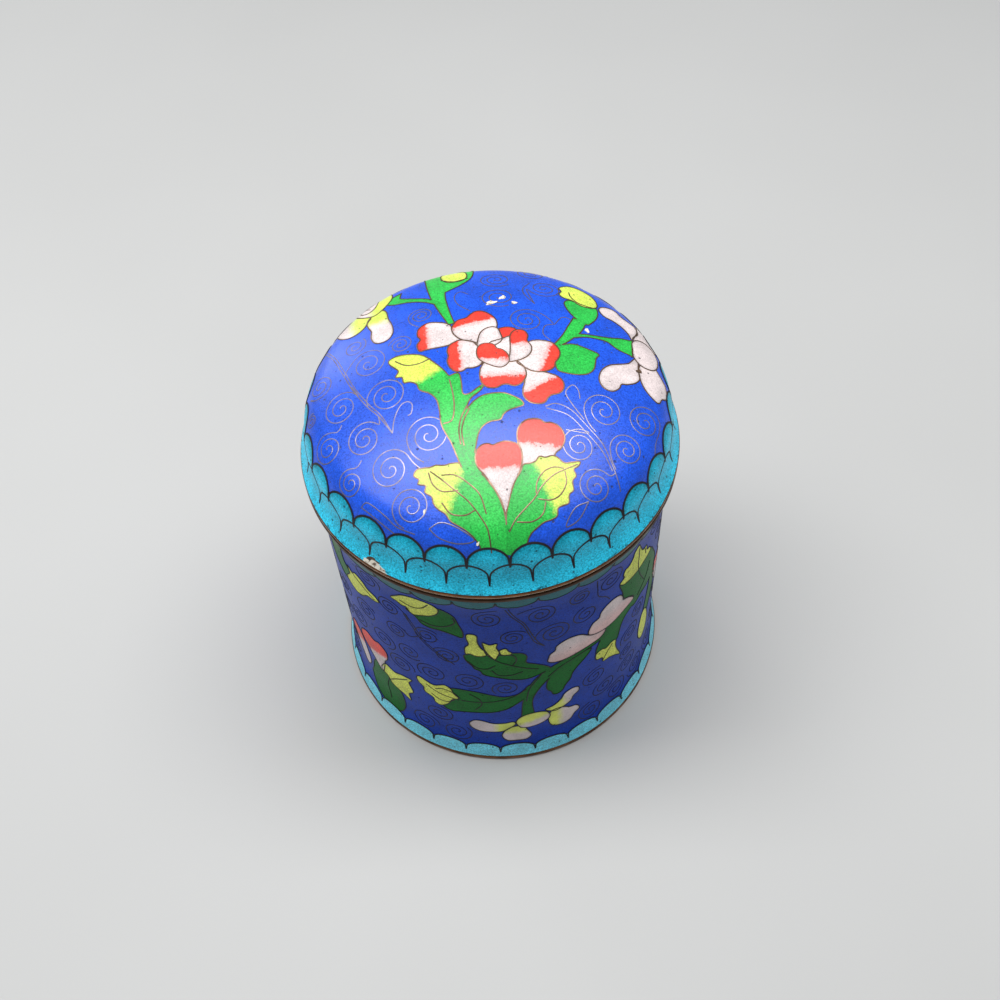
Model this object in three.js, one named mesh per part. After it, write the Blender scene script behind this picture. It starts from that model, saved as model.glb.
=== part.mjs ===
// Round cloisonne enamel box with a low domed lift-off lid.
// Millimetres, +Z up, standing on its foot at the origin, its axis on Z.
import * as THREE from 'three';

// Driving dimensions
const RIM_RADIUS = 45; // outer radius of the three metal edges
const MOUTH_HEIGHT = 86.8; // top of the mouth rim above the table
const TOTAL_HEIGHT = 113.9; // crown of the lid above the table
const WALL = 1.8; // copper with enamel on both faces
const GAP = 0.3; // clearance between pieces that touch
const SEGMENTS = 64; // facets around every ring

// Body: a straight wall that flares out a little at the foot and at the mouth
const WALL_RADIUS = 43;
const ENAMEL_EDGE_RADIUS = RIM_RADIUS - 0.1; // enamel stops just inside the metal edge
const FLARE_HEIGHT = 13;
const FLARE_STEPS = 5;
const RECESS = 3; // underside of the floor above the table
const FLOOR = WALL;
const CORNER = 3; // inside round between floor and wall

// Metal edges
const FOOT_RIM_HEIGHT = 1.4;
const MOUTH_RIM_HEIGHT = 1.2;
const LID_RIM_HEIGHT = 1.1;
const RIM_WIDTH = 2.4;
const RIM_BEVEL = 0.35;

// Collar that the lid drops over
const COLLAR_RADIUS = 40.6;
const COLLAR_WALL = 1;
const COLLAR_RISE = 5;

// Lid: flared edge, short upright wall, round shoulder and a shallow crown
const LID_WALL_RADIUS = 42.9;
const LID_FLARE_HEIGHT = 7;
const SHOULDER_RADIUS = 10.6;
const SHOULDER_STEPS = 6;
const CROWN_STEPS = 5;
const LID_RIM_BASE = MOUTH_HEIGHT + GAP;
const LID_BASE = LID_RIM_BASE + LID_RIM_HEIGHT + GAP;

const enamelBlue = new THREE.MeshStandardMaterial({ color: 0x1f3fc4, roughness: 0.35, metalness: 0 });
const lidEnamel = new THREE.MeshStandardMaterial({ color: 0x2448d8, roughness: 0.35, metalness: 0 });
const brass = new THREE.MeshStandardMaterial({ color: 0xc9a15a, roughness: 0.3, metalness: 1 });
const copper = new THREE.MeshStandardMaterial({ color: 0x8a5a3c, roughness: 0.45, metalness: 1 });
const footCopper = new THREE.MeshStandardMaterial({ color: 0x7d4f36, roughness: 0.5, metalness: 1 });

// Points [radius, height] of an arc about [cx, cz], turning from angle a to angle b
function arc(cx, cz, radius, a, b, steps) {
  return Array.from({ length: steps + 1 }, (_, i) => {
    const t = a + ((b - a) * i) / steps;
    return [cx + radius * Math.cos(t), cz + radius * Math.sin(t)];
  });
}

// A flare that is widest at height zEdge and eases into the upright wall at height zWall
function flare(edgeRadius, wallRadius, zEdge, zWall) {
  return Array.from({ length: FLARE_STEPS + 1 }, (_, i) => {
    const s = i / FLARE_STEPS;
    return [wallRadius + (edgeRadius - wallRadius) * (1 - s) ** 2, zEdge + (zWall - zEdge) * s];
  });
}

// Turns a profile that starts and ends on the axis, or closes on itself, into a closed mesh
function turned(name, profile, material) {
  const points = profile.map(([radius, height]) => new THREE.Vector2(radius, height));
  const geometry = new THREE.LatheGeometry(points, SEGMENTS);
  const mesh = new THREE.Mesh(geometry.rotateX(Math.PI / 2), material);
  mesh.name = name;
  return mesh;
}

// A metal edge of rectangular section with bevelled outer corners
function rimProfile(base, height) {
  const inner = RIM_RADIUS - RIM_WIDTH;
  const top = base + height;
  return [
    [inner, base],
    [RIM_RADIUS - RIM_BEVEL, base],
    [RIM_RADIUS, base + RIM_BEVEL],
    [RIM_RADIUS, top - RIM_BEVEL],
    [RIM_RADIUS - RIM_BEVEL, top],
    [inner, top],
    [inner, base],
  ];
}

// Cup of the body: recessed underside, flared skirt, wall, flared mouth and the inside
function bodyProfile() {
  const base = FOOT_RIM_HEIGHT + GAP;
  const top = MOUTH_HEIGHT - MOUTH_RIM_HEIGHT - GAP;
  const foot = flare(ENAMEL_EDGE_RADIUS, WALL_RADIUS, base, base + FLARE_HEIGHT);
  const mouth = flare(ENAMEL_EDGE_RADIUS, WALL_RADIUS, top, top - FLARE_HEIGHT).reverse();
  const inside = mouth.map(([r, z]) => [r - WALL, z]).reverse();
  const floorTop = RECESS + FLOOR;
  const innerRadius = WALL_RADIUS - WALL;
  const corner = arc(innerRadius - CORNER, floorTop + CORNER, CORNER, 0, -Math.PI / 2, 3);
  return [
    [0, RECESS],
    [ENAMEL_EDGE_RADIUS - WALL, RECESS],
    [ENAMEL_EDGE_RADIUS - WALL, base],
    ...foot,
    ...mouth,
    ...inside,
    ...corner,
    [0, floorTop],
  ];
}

// Mouth edge with the upright collar inside it
function mouthProfile() {
  const base = MOUTH_HEIGHT - MOUTH_RIM_HEIGHT;
  const inner = COLLAR_RADIUS - COLLAR_WALL;
  const collarTop = MOUTH_HEIGHT + COLLAR_RISE;
  return [
    [inner, base],
    [RIM_RADIUS - RIM_BEVEL, base],
    [RIM_RADIUS, base + RIM_BEVEL],
    [RIM_RADIUS, MOUTH_HEIGHT - RIM_BEVEL],
    [RIM_RADIUS - RIM_BEVEL, MOUTH_HEIGHT],
    [COLLAR_RADIUS, MOUTH_HEIGHT],
    [COLLAR_RADIUS, collarTop],
    [inner, collarTop],
    [inner, base],
  ];
}

// Crown and shoulder of the dome at a distance inside its outer face, from the axis outwards.
// The crown arc meets the shoulder arc without a corner.
function domeArcs(inset) {
  const shoulderCentre = LID_WALL_RADIUS - SHOULDER_RADIUS;
  const shoulderBase = LID_BASE + LID_FLARE_HEIGHT;
  const rise = TOTAL_HEIGHT - shoulderBase;
  const crownRadius =
    (shoulderCentre ** 2 + rise ** 2 - SHOULDER_RADIUS ** 2) / (2 * (rise - SHOULDER_RADIUS));
  const crownCentre = TOTAL_HEIGHT - crownRadius;
  const meet = Math.atan2(shoulderBase - crownCentre, shoulderCentre);
  const crown = arc(0, crownCentre, crownRadius - inset, Math.PI / 2, meet, CROWN_STEPS);
  crown[0][0] = 0;
  const shoulder = arc(shoulderCentre, shoulderBase, SHOULDER_RADIUS - inset, meet, 0, SHOULDER_STEPS);
  return [...crown, ...shoulder.slice(1)];
}

// Lid shell: outer face from the crown down to the flared edge, then the inner face back up
function lidProfile() {
  const edge = flare(ENAMEL_EDGE_RADIUS, LID_WALL_RADIUS, LID_BASE, LID_BASE + LID_FLARE_HEIGHT);
  const outer = [...domeArcs(0), ...edge.slice(0, -1).reverse()];
  const innerEdge = edge.slice(0, -1).map(([r, z]) => [r - WALL, z]);
  return [...outer, ...innerEdge, ...domeArcs(WALL).reverse()].reverse();
}

const box = new THREE.Group();
box.add(turned('foot_rim', rimProfile(0, FOOT_RIM_HEIGHT), footCopper));
box.add(turned('body_wall', bodyProfile(), enamelBlue));
box.add(turned('mouth_rim', mouthProfile(), brass));
box.add(turned('lid_rim', rimProfile(LID_RIM_BASE, LID_RIM_HEIGHT), copper));
box.add(turned('lid_dome', lidProfile(), lidEnamel));

export default box;
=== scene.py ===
"""Round cloisonne enamel box: enamel shells, inlaid flowers and leaves, wires, metal edges and a stage."""

import math

import bmesh
import bpy
import numpy as np
from bpy.props import FloatProperty, FloatVectorProperty, PointerProperty
from mathutils import Matrix, Vector, geometry


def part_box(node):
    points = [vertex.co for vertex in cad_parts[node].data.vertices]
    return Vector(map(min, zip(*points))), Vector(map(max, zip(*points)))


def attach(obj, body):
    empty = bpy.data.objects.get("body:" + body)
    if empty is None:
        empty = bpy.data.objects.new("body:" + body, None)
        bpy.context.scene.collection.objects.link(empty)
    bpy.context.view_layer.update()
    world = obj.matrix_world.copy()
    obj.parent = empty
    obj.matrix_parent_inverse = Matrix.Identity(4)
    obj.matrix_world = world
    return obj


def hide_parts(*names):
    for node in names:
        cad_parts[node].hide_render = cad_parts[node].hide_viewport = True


bl_info = {
    "name": "Cloisonne Enamel Box",
    "version": (1, 0, 0),
    "blender": (4, 5, 0),
    "location": "View3D > Sidebar > Enamel Box",
    "description": "Dresses a round lidded box in cloisonne enamel",
    "category": "Object",
}

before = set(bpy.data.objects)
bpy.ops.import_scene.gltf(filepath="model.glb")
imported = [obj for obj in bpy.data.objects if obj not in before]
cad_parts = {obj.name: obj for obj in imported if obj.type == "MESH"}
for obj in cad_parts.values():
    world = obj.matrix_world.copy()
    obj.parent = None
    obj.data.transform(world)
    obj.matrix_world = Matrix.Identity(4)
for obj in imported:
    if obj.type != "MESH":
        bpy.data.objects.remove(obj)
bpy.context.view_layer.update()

# All design sizes are in millimetres and become metres when a mesh is made
MM = 0.001


def node_span(node):
    """Lowest and highest corner of a solid in millimetres."""
    low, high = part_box(node)
    return np.array(low) / MM, np.array(high) / MM


FOOT_LOW, FOOT_HIGH = node_span("foot_rim")
BODY_LOW, BODY_HIGH = node_span("body_wall")
_, MOUTH_HIGH = node_span("mouth_rim")
LID_RIM_LOW, _ = node_span("lid_rim")
LID_LOW, LID_HIGH = node_span("lid_dome")

# The lid's metal edge gets a painted highlight, a bright band along its lower arris, between these heights above its
# foot
HIGHLIGHT_BAND = (0.02, 0.42)
HIGHLIGHT_DEPTH = 0.6

# Form of the enamel, as the solids have it
WALL = 1.8
WALL_RADIUS = 43.0
EDGE_RADIUS = BODY_HIGH[0]
FLARE_HEIGHT = 13.0
RECESS = 3.0
LID_WALL_RADIUS = 42.9
LID_FLARE_HEIGHT = 7.0
SHOULDER_RADIUS = 10.6
COLLAR_RADIUS = 40.6
COLLAR_WALL = 1.0
RIM_RADIUS = FOOT_HIGH[0]
RIM_WIDTH = 2.4
GAP = 0.3
SEAM = 0.02
FLOOR_CORNER = 3.0
COLLAR_CHAMFER = (0.3, 0.4)
TURNS = 256

# Heights above the sunken enamel ground, which lies INSET inside the solids
INSET = 0.2
SINK = -0.12
SHOULDER = 0.03
CELL_LIFT = 0.03
LAYER_LIFT = 0.02
BAND_LIFT = 0.1
FLAKE_LIFT = 0.12
SCALLOP_RISE = 0.18
SCROLL_RISE = 0.07

# Crown and shoulder arcs of the lid, which meet without a corner
SHOULDER_CENTRE = LID_WALL_RADIUS - SHOULDER_RADIUS
SHOULDER_BASE = LID_LOW[2] + LID_FLARE_HEIGHT
CROWN_RISE = LID_HIGH[2] - SHOULDER_BASE
CROWN_SPAN = SHOULDER_CENTRE**2 + CROWN_RISE**2 - SHOULDER_RADIUS**2
CROWN_RADIUS = CROWN_SPAN / (2 * (CROWN_RISE - SHOULDER_RADIUS))
CROWN_CENTRE = LID_HIGH[2] - CROWN_RADIUS
CROWN_ANGLE = math.atan2(SHOULDER_CENTRE, SHOULDER_BASE - CROWN_CENTRE)
CROWN_LENGTH = CROWN_RADIUS * CROWN_ANGLE
SHOULDER_LENGTH = SHOULDER_RADIUS * (math.pi / 2 - CROWN_ANGLE)
LID_REACH = CROWN_LENGTH + SHOULDER_LENGTH + LID_FLARE_HEIGHT

# Spacing of the points on an edge, inside a cell and along a scallop, and points a curve has for each stretch
EDGE_STEP = 0.42
FILL_STEP = 1.1
FILL_MARGIN = 0.4
ROW_PITCH = 0.87
SCALLOP_STEP = 0.36
STRETCH = 12
LID_STRETCH = 14

# How far an edge is drawn in so that a shared edge doesn't count as inside a neighbour
SHARED_EDGE = 0.12

# Values of the blend attribute: deep in the first tint, and deep in the picture side or the lining
NEAR = -9.0
LINING = 3


def lid_profile(s, inset=0.0):
    """Radius, height and outward normal at arc length s from the crown's middle: the crown arc turns by
    s over its radius, the shoulder arc takes the next turn to upright, and the flare widens by the square
    of the way down. inset moves the point inwards along the normal."""
    s = np.asarray(s, float)
    crown = s / CROWN_RADIUS
    turn = CROWN_ANGLE + np.clip(s - CROWN_LENGTH, 0, SHOULDER_LENGTH) / SHOULDER_RADIUS
    fall = np.clip(s - CROWN_LENGTH - SHOULDER_LENGTH, 0, LID_FLARE_HEIGHT) / LID_FLARE_HEIGHT
    widen = (EDGE_RADIUS - LID_WALL_RADIUS) * fall**2
    slope = np.arctan(2 * (EDGE_RADIUS - LID_WALL_RADIUS) * fall / LID_FLARE_HEIGHT)
    on_crown = s < CROWN_LENGTH
    on_shoulder = s < CROWN_LENGTH + SHOULDER_LENGTH
    radius = np.where(
        on_crown,
        CROWN_RADIUS * np.sin(crown),
        np.where(on_shoulder, SHOULDER_CENTRE + SHOULDER_RADIUS * np.sin(turn), LID_WALL_RADIUS + widen),
    )
    height = np.where(
        on_crown,
        CROWN_CENTRE + CROWN_RADIUS * np.cos(crown),
        SHOULDER_BASE + np.where(on_shoulder, SHOULDER_RADIUS * np.cos(turn), -fall * LID_FLARE_HEIGHT),
    )
    tilt = np.where(on_crown, crown, np.where(on_shoulder, turn, math.pi / 2 - slope))
    normal_r, normal_z = np.sin(tilt), np.cos(tilt)
    return radius - inset * normal_r, height - inset * normal_z, normal_r, normal_z


def body_profile(z, inset=0.0):
    """Radius, height and outward normal at height z: an upright wall that widens by the square of the way
    into the flare at foot and mouth."""
    z = np.asarray(z, float)
    foot = np.clip(1 - (z - BODY_LOW[2]) / FLARE_HEIGHT, 0, 1)
    mouth = np.clip(1 - (BODY_HIGH[2] - z) / FLARE_HEIGHT, 0, 1)
    widen = EDGE_RADIUS - WALL_RADIUS
    radius = WALL_RADIUS + widen * (foot**2 + mouth**2)
    slope = 2 * widen * (mouth - foot) / FLARE_HEIGHT
    length = np.sqrt(1 + slope**2)
    normal_r, normal_z = 1 / length, -slope / length
    return radius - inset * normal_r, z - inset * normal_z, normal_r, normal_z


def onto_lid(plan, lift):
    """A point (x, y) of the lid's plan lies at arc length sqrt(x*x + y*y) from the middle of the crown,
    in the direction of (x, y), lift above the sunken ground."""
    s = np.hypot(plan[..., 0], plan[..., 1])
    safe = np.maximum(s, 1e-9)
    radius, height, normal_r, normal_z = lid_profile(np.minimum(s, LID_REACH), INSET)
    out = radius + lift * normal_r
    return np.stack([out * plan[..., 0] / safe, out * plan[..., 1] / safe, height + lift * normal_z], -1)


def onto_body(plan, lift):
    """A point (x, z) of the unrolled wall turns by x over the wall's radius from the front, at height z."""
    angle = plan[..., 0] / WALL_RADIUS
    level = np.clip(plan[..., 1], BODY_LOW[2], BODY_HIGH[2])
    radius, height, normal_r, normal_z = body_profile(level, INSET)
    out = radius + lift * normal_r
    return np.stack([out * np.sin(angle), -out * np.cos(angle), height + lift * normal_z], -1)


def smooth(points, count):
    """A curve through the points: each stretch is a cubic whose slope at a point is half the chord
    between the point's neighbours."""
    p = np.asarray(points, float)
    if p.ndim == 1:
        p = p[:, None]
    padded = np.vstack([2 * p[0] - p[1], p, 2 * p[-1] - p[-2]])
    t = np.linspace(0, len(p) - 1, count)
    i = np.minimum(t.astype(int), len(p) - 2)
    f = (t - i)[:, None]
    a, b, c, d = padded[i], padded[i + 1], padded[i + 2], padded[i + 3]
    return 0.5 * (2 * b + (c - a) * f + (2 * a - 5 * b + 4 * c - d) * f**2 + (3 * b - a - 3 * c + d) * f**3)


def unit(vectors):
    """Each vector divided by its length."""
    return vectors / np.maximum(np.linalg.norm(vectors, axis=-1, keepdims=True), 1e-12)


def closed_curve(points, step=EDGE_STEP):
    """The smooth curve through the points, closed on itself, running anticlockwise at equal steps."""
    p = np.asarray(points, float)
    wrapped = smooth(np.vstack([p[-2:], p, p[:3]]), STRETCH * (len(p) + 4) + 1)
    path = resample(wrapped[2 * STRETCH : -2 * STRETCH], step)[:-1]
    ahead = np.roll(path, -1, axis=0)
    area = np.sum(path[:, 0] * ahead[:, 1] - ahead[:, 0] * path[:, 1])
    return path if area > 0 else path[::-1]


def ribbon(spine, half_widths):
    """Outline points of a stem: the spine's curve offset by its half width to both sides."""
    count = 5 * len(spine)
    middle = smooth(spine, count)
    along = unit(np.gradient(middle, axis=0))
    across = np.stack([-along[:, 1], along[:, 0]], 1) * smooth(half_widths, count)
    return np.vstack([middle + across, (middle - across)[::-1]])


class Cell:
    """One enamel cell in plan: its closed edge, the line where its two tints meet, and its layer."""

    def __init__(self, outline, meet=None, layer=0, family="", wired=True):
        """The second tint lies left of meet, a line from one point to another, or nowhere without one.
        Cells of one family run into each other without a wire between them."""
        self.edge = closed_curve(outline)
        self.meet = None if meet is None else np.array(meet, float)
        self.layer, self.family, self.wired = layer, family, wired

    def blend(self, plan):
        """Distance in millimetres past the line where the tints meet."""
        if self.meet is None:
            return np.full(len(plan), NEAR)
        along = unit(self.meet[1] - self.meet[0])
        return (plan - self.meet[0]) @ np.array([-along[1], along[0]])

    def moved(self, shift):
        """A copy mirrored in x and shifted along x."""
        copy = object.__new__(Cell)
        copy.__dict__.update(self.__dict__)
        flip, step = np.array([-1.0, 1.0]), np.array([shift, 0.0])
        copy.edge = (self.edge * flip + step)[::-1]
        copy.meet = None if self.meet is None else (self.meet * flip + step)[::-1]
        return copy


class MeshParts:
    """Vertices, faces and point attributes of several grids, gathered into one mesh."""

    def __init__(self):
        self.points, self.faces, self.blend, self.pool = [], [], [], []
        self.count = 0

    def grid(self, rows, blend, pool, closed_rows=False):
        """Adds a grid of rows of points, each row closed on itself, with quads whose normals point up from
        a plan whose rows run clockwise and grow outwards."""
        r, n = rows.shape[:2]
        index = np.arange(r * n).reshape(r, n) + self.count
        if closed_rows:
            index = np.vstack([index, index[:1]])
        here, ahead = index[:-1], np.roll(index, -1, axis=1)[:-1]
        out, out_ahead = index[1:], np.roll(index, -1, axis=1)[1:]
        self.faces.append(np.stack([here, ahead, out_ahead, out], -1).reshape(-1, 4))
        self.points.append(rows.reshape(-1, 3))
        self.blend.append(np.broadcast_to(blend, (r, n)).reshape(-1))
        self.pool.append(np.broadcast_to(pool, (r, n)).reshape(-1))
        self.count += r * n

    def cell(self, cell, conform, lift=0.0):
        """A cell as a closed tile: the edge and a staggered grid of points inside it are joined into
        triangles, which are laid on the ground, with a skirt and a floor below the ground. pool is the
        distance from the wire."""
        low, high = cell.edge.min(0), cell.edge.max(0)
        rows = np.arange(low[1], high[1], FILL_STEP * ROW_PITCH)
        x, y = np.meshgrid(np.arange(low[0], high[0], FILL_STEP), rows)
        x = x + np.where(np.arange(len(rows)) % 2, FILL_STEP / 2, 0.0)[:, None]
        spots = np.stack([x.ravel(), y.ravel()], 1)
        gap = np.linalg.norm(spots[:, None] - cell.edge, axis=2).min(1)
        spots = spots[inside(spots, cell.edge) & (gap > FILL_MARGIN)]
        flat = [Vector(v) for v in np.vstack([cell.edge, spots]).tolist()]
        made = geometry.delaunay_2d_cdt(flat, [], [list(range(len(cell.edge)))], 1, 1e-6)
        plan = np.array([tuple(v) for v in made[0]])
        triangles = np.array([tuple(f) for f in made[2] if len(f) == 3])
        pool = np.linalg.norm(plan[:, None] - cell.edge, axis=2).min(1)
        height = CELL_LIFT + LAYER_LIFT * cell.layer + lift
        top = conform(plan, np.full(len(plan), height))
        under = conform(plan, np.full(len(plan), SINK))
        sides = np.vstack([triangles[:, [0, 1]], triangles[:, [1, 2]], triangles[:, [2, 0]]])
        keys = np.sort(sides, axis=1) @ np.array([len(plan), 1])
        _, first, times = np.unique(keys, return_index=True, return_counts=True)
        rim = sides[first[times == 1]]
        skirt = np.stack([rim[:, 1], rim[:, 0], rim[:, 0] + len(plan), rim[:, 1] + len(plan)], 1)
        for faces in (triangles, triangles[:, ::-1] + len(plan)):
            self.faces.append(np.hstack([faces, faces[:, 2:]]) + self.count)
        self.faces.append(skirt + self.count)
        self.points += [top, under]
        self.blend += [cell.blend(plan)] * 2
        self.pool += [pool] * 2
        self.count += 2 * len(plan)

    def wire(self, path, closed, conform, width, rise):
        """A wire of flat section with rounded shoulders, carried along a path in plan."""
        if closed:
            along = unit(np.roll(path, -1, axis=0) - np.roll(path, 1, axis=0))
        else:
            along = unit(np.gradient(path, axis=0))
        across = np.stack([-along[:, 1], along[:, 0]], 1)
        low = rise - SHOULDER
        section = np.array([[-0.5, SINK], [-0.44, low], [0.0, rise], [0.44, low], [0.5, SINK]])
        plan = path[:, None] + section[None, ::-1, 0, None] * width * across[:, None]
        lift = np.broadcast_to(section[::-1, 1], plan.shape[:2])
        rows = conform(plan, lift)
        first = self.count
        self.grid(rows, 0.0, 0.0, closed_rows=closed)
        if not closed:
            n = len(section)
            last = first + (len(path) - 1) * n
            self.faces.append(np.array([[first, first + 4, first + 3, first + 1]]))
            self.faces.append(np.array([[first + 1, first + 3, first + 2, first + 2]]))
            self.faces.append(np.array([[last, last + 1, last + 3, last + 4]]))
            self.faces.append(np.array([[last + 1, last + 2, last + 3, last + 3]]))

    def object(self, name, material, sharp=math.radians(38)):
        """Makes the mesh object, with doubles merged so that seams and poles are closed. A face whose last
        corner repeats is a triangle."""
        points, faces = np.vstack(self.points) * MM, np.vstack(self.faces)
        sides = np.where(faces[:, 2] == faces[:, 3], 3, 4)
        corners = faces[np.arange(4) < sides[:, None]]
        mesh = bpy.data.meshes.new(name)
        mesh.vertices.add(len(points))
        mesh.vertices.foreach_set("co", points.ravel())
        mesh.loops.add(len(corners))
        mesh.loops.foreach_set("vertex_index", corners)
        mesh.polygons.add(len(faces))
        mesh.polygons.foreach_set("loop_start", np.cumsum(sides) - sides)
        mesh.update(calc_edges=True)
        for key, values in (("blend", self.blend), ("pool", self.pool)):
            layer = mesh.attributes.new(key, "FLOAT", "POINT")
            layer.data.foreach_set("value", np.concatenate(values).astype(np.float32))
        work = bmesh.new()
        work.from_mesh(mesh)
        bmesh.ops.remove_doubles(work, verts=work.verts, dist=2e-7)
        bmesh.ops.dissolve_degenerate(work, edges=work.edges, dist=1e-8)
        work.to_mesh(mesh)
        work.free()
        mesh.polygons.foreach_set("use_smooth", np.ones(len(mesh.polygons), bool))
        mesh.set_sharp_from_angle(angle=sharp)
        mesh.materials.append(material)
        piece = bpy.data.objects.new(name, mesh)
        bpy.context.scene.collection.objects.link(piece)
        return piece


def add_piece(parts, name, material, replaced=(), sharp=math.radians(38)):
    """Finishes a piece: it rides on the root body, and the solids it replaces are hidden."""
    piece = parts.object(name, material, sharp)
    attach(piece, "root")
    if replaced:
        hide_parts(*replaced)
    return piece


def turned(profile, inner):
    """A closed profile (radius, height) turned round the axis. inner is 1 where a point belongs to the
    inside or the underside, and 0 on the picture side."""
    profile = np.asarray(profile, float)
    angle = np.linspace(0, 2 * math.pi, TURNS, endpoint=False)
    rows = np.stack(
        [
            profile[:, None, 0] * np.cos(angle),
            profile[:, None, 0] * np.sin(angle),
            np.repeat(profile[:, None, 1], TURNS, 1),
        ],
        -1,
    )
    parts = MeshParts()
    parts.grid(rows, np.asarray(inner, float)[:, None], 0.0)
    return parts


# Plan geometry of wires


def inside(points, polygon):
    """True for points inside a polygon: a ray to the right crosses its sides an odd number of times."""
    x, y = points[:, 0, None], points[:, 1, None]
    x0, y0 = polygon[:, 0], polygon[:, 1]
    x1, y1 = np.roll(x0, -1), np.roll(y0, -1)
    straddles = (y0 > y) != (y1 > y)
    crossing = x0 + (y - y0) * (x1 - x0) / np.where(y1 == y0, 1e-9, y1 - y0)
    return (np.sum(straddles & (x < crossing), axis=1) % 2) == 1


def resample(path, step=EDGE_STEP):
    """Points at equal steps of arc length along a path."""
    reach = np.concatenate([[0], np.cumsum(np.hypot(*np.diff(path, axis=0).T))])
    count = max(int(round(reach[-1] / step)) + 1, 4)
    t = np.linspace(0, reach[-1], count)
    return np.stack([np.interp(t, reach, path[:, 0]), np.interp(t, reach, path[:, 1])], 1)


def visible_runs(path, hidden, closed):
    """The stretches of a path that aren't hidden, as (path, closed) pairs."""
    if not hidden.any():
        return [(path, closed)]
    if hidden.all():
        return []
    if closed:
        start = int(np.argmax(hidden))
        path, hidden = np.roll(path, -start, axis=0), np.roll(hidden, -start)
    marks = np.flatnonzero(np.diff(np.concatenate([[1], hidden.astype(int), [1]])))
    return [(path[a:b], False) for a, b in zip(marks[::2], marks[1::2]) if b - a > 3]


def shrunk(edge, by):
    """An edge drawn in a little, so that a shared edge doesn't count as inside."""
    along = unit(np.roll(edge, -1, axis=0) - np.roll(edge, 1, axis=0))
    return edge + np.stack([-along[:, 1], along[:, 0]], 1) * by


def covered(line, cells, by=SHARED_EDGE):
    """True for the points of a line that lie inside one of the cells."""
    hidden = np.zeros(len(line), bool)
    low, high = line.min(0), line.max(0)
    for cell in cells:
        if (cell.edge.min(0) < high).all() and (cell.edge.max(0) > low).all():
            hidden |= inside(line, shrunk(cell.edge, by))
    return hidden


def draw_edges(parts, cells, beyond, conform, width, rise):
    """Lays wires along the edges of the cells, but not inside a cell of a higher layer or of the same
    family, nor past the scalloped edge."""
    for cell in cells:
        if not cell.wired:
            continue
        kin = [d for d in cells if d.family and d.family == cell.family and d is not cell]
        over = kin + [d for d in cells if d.layer > cell.layer]
        hidden = beyond(cell.edge) | covered(cell.edge, over)
        for run, whole in visible_runs(cell.edge, hidden, True):
            parts.wire(run, whole, conform, width, rise)


def draw_free(parts, paths, cells, beyond, conform, width, rise):
    """Lays free wires, which give way to every cell and to the scalloped edge."""
    for path in paths:
        line = resample(path)
        hidden = beyond(line) | covered(line, cells, 0.0)
        for run, _ in visible_runs(line, hidden, False):
            parts.wire(run, False, conform, width, rise)


def spiral(x, y, radius, start, hand, tail=None, turns=2.3):
    """A scroll: the radius falls evenly with the angle from its outer end to a small eye. The tail leaves
    the outer end along the curve and bends to a point."""
    t = np.linspace(0, 1, 90)
    angle = math.radians(start) + hand * turns * 2 * math.pi * t
    r = radius * (1 - t) ** 0.9 + 0.35 * t
    curl = np.stack([x + r * np.cos(angle), y + r * np.sin(angle)], 1)
    if tail is None:
        return curl
    outward = unit(curl[0] - curl[1])
    reach = np.linalg.norm(np.subtract(tail, curl[0]))
    bend = curl[0] + outward * reach * 0.5
    u = np.linspace(1, 0, 16)[:, None]
    lead = (1 - u) ** 2 * curl[0] + 2 * u * (1 - u) * bend + u**2 * np.asarray(tail, float)
    return np.vstack([lead[:-1], curl])


def fill_scrolls(spots, taken, cells, lines, around=math.inf, sizes=(4.3, 3.7, 3.1)):
    """Scrolls on free ground, the largest first: a spot takes a circle that clears the cells and the
    scrolls already there. Neighbours turn opposite ways. The plan closes on itself after around."""
    outlines = np.vstack([c.edge for c in cells] + lines)
    spots = np.array(spots, float)
    open_ground = np.linalg.norm(spots[:, None] - outlines, axis=2).min(1) - 0.7
    for cell in cells:
        open_ground[inside(spots, cell.edge)] = 0.0
    placed = [tuple(t) for t in taken]
    paths = []
    for radius in sizes:
        for (x, y), room in zip(spots, open_ground):
            spans = [math.hypot(math.remainder(cx - x, around), cy - y) - cr for cx, cy, cr in placed]
            if room < radius or min(spans) < radius + 0.5:
                continue
            placed.append((x, y, radius))
            number = len(placed)
            hand = 1 if number % 2 else -1
            paths.append(spiral(x, y, radius, 47.0 * number, hand, turns=0.9 + radius / 3.0))
    return paths


# The picture on the lid, in plan millimetres seen from above, with the front at negative y


ALL_FAR = ((0, -200), (1, -200))


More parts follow.
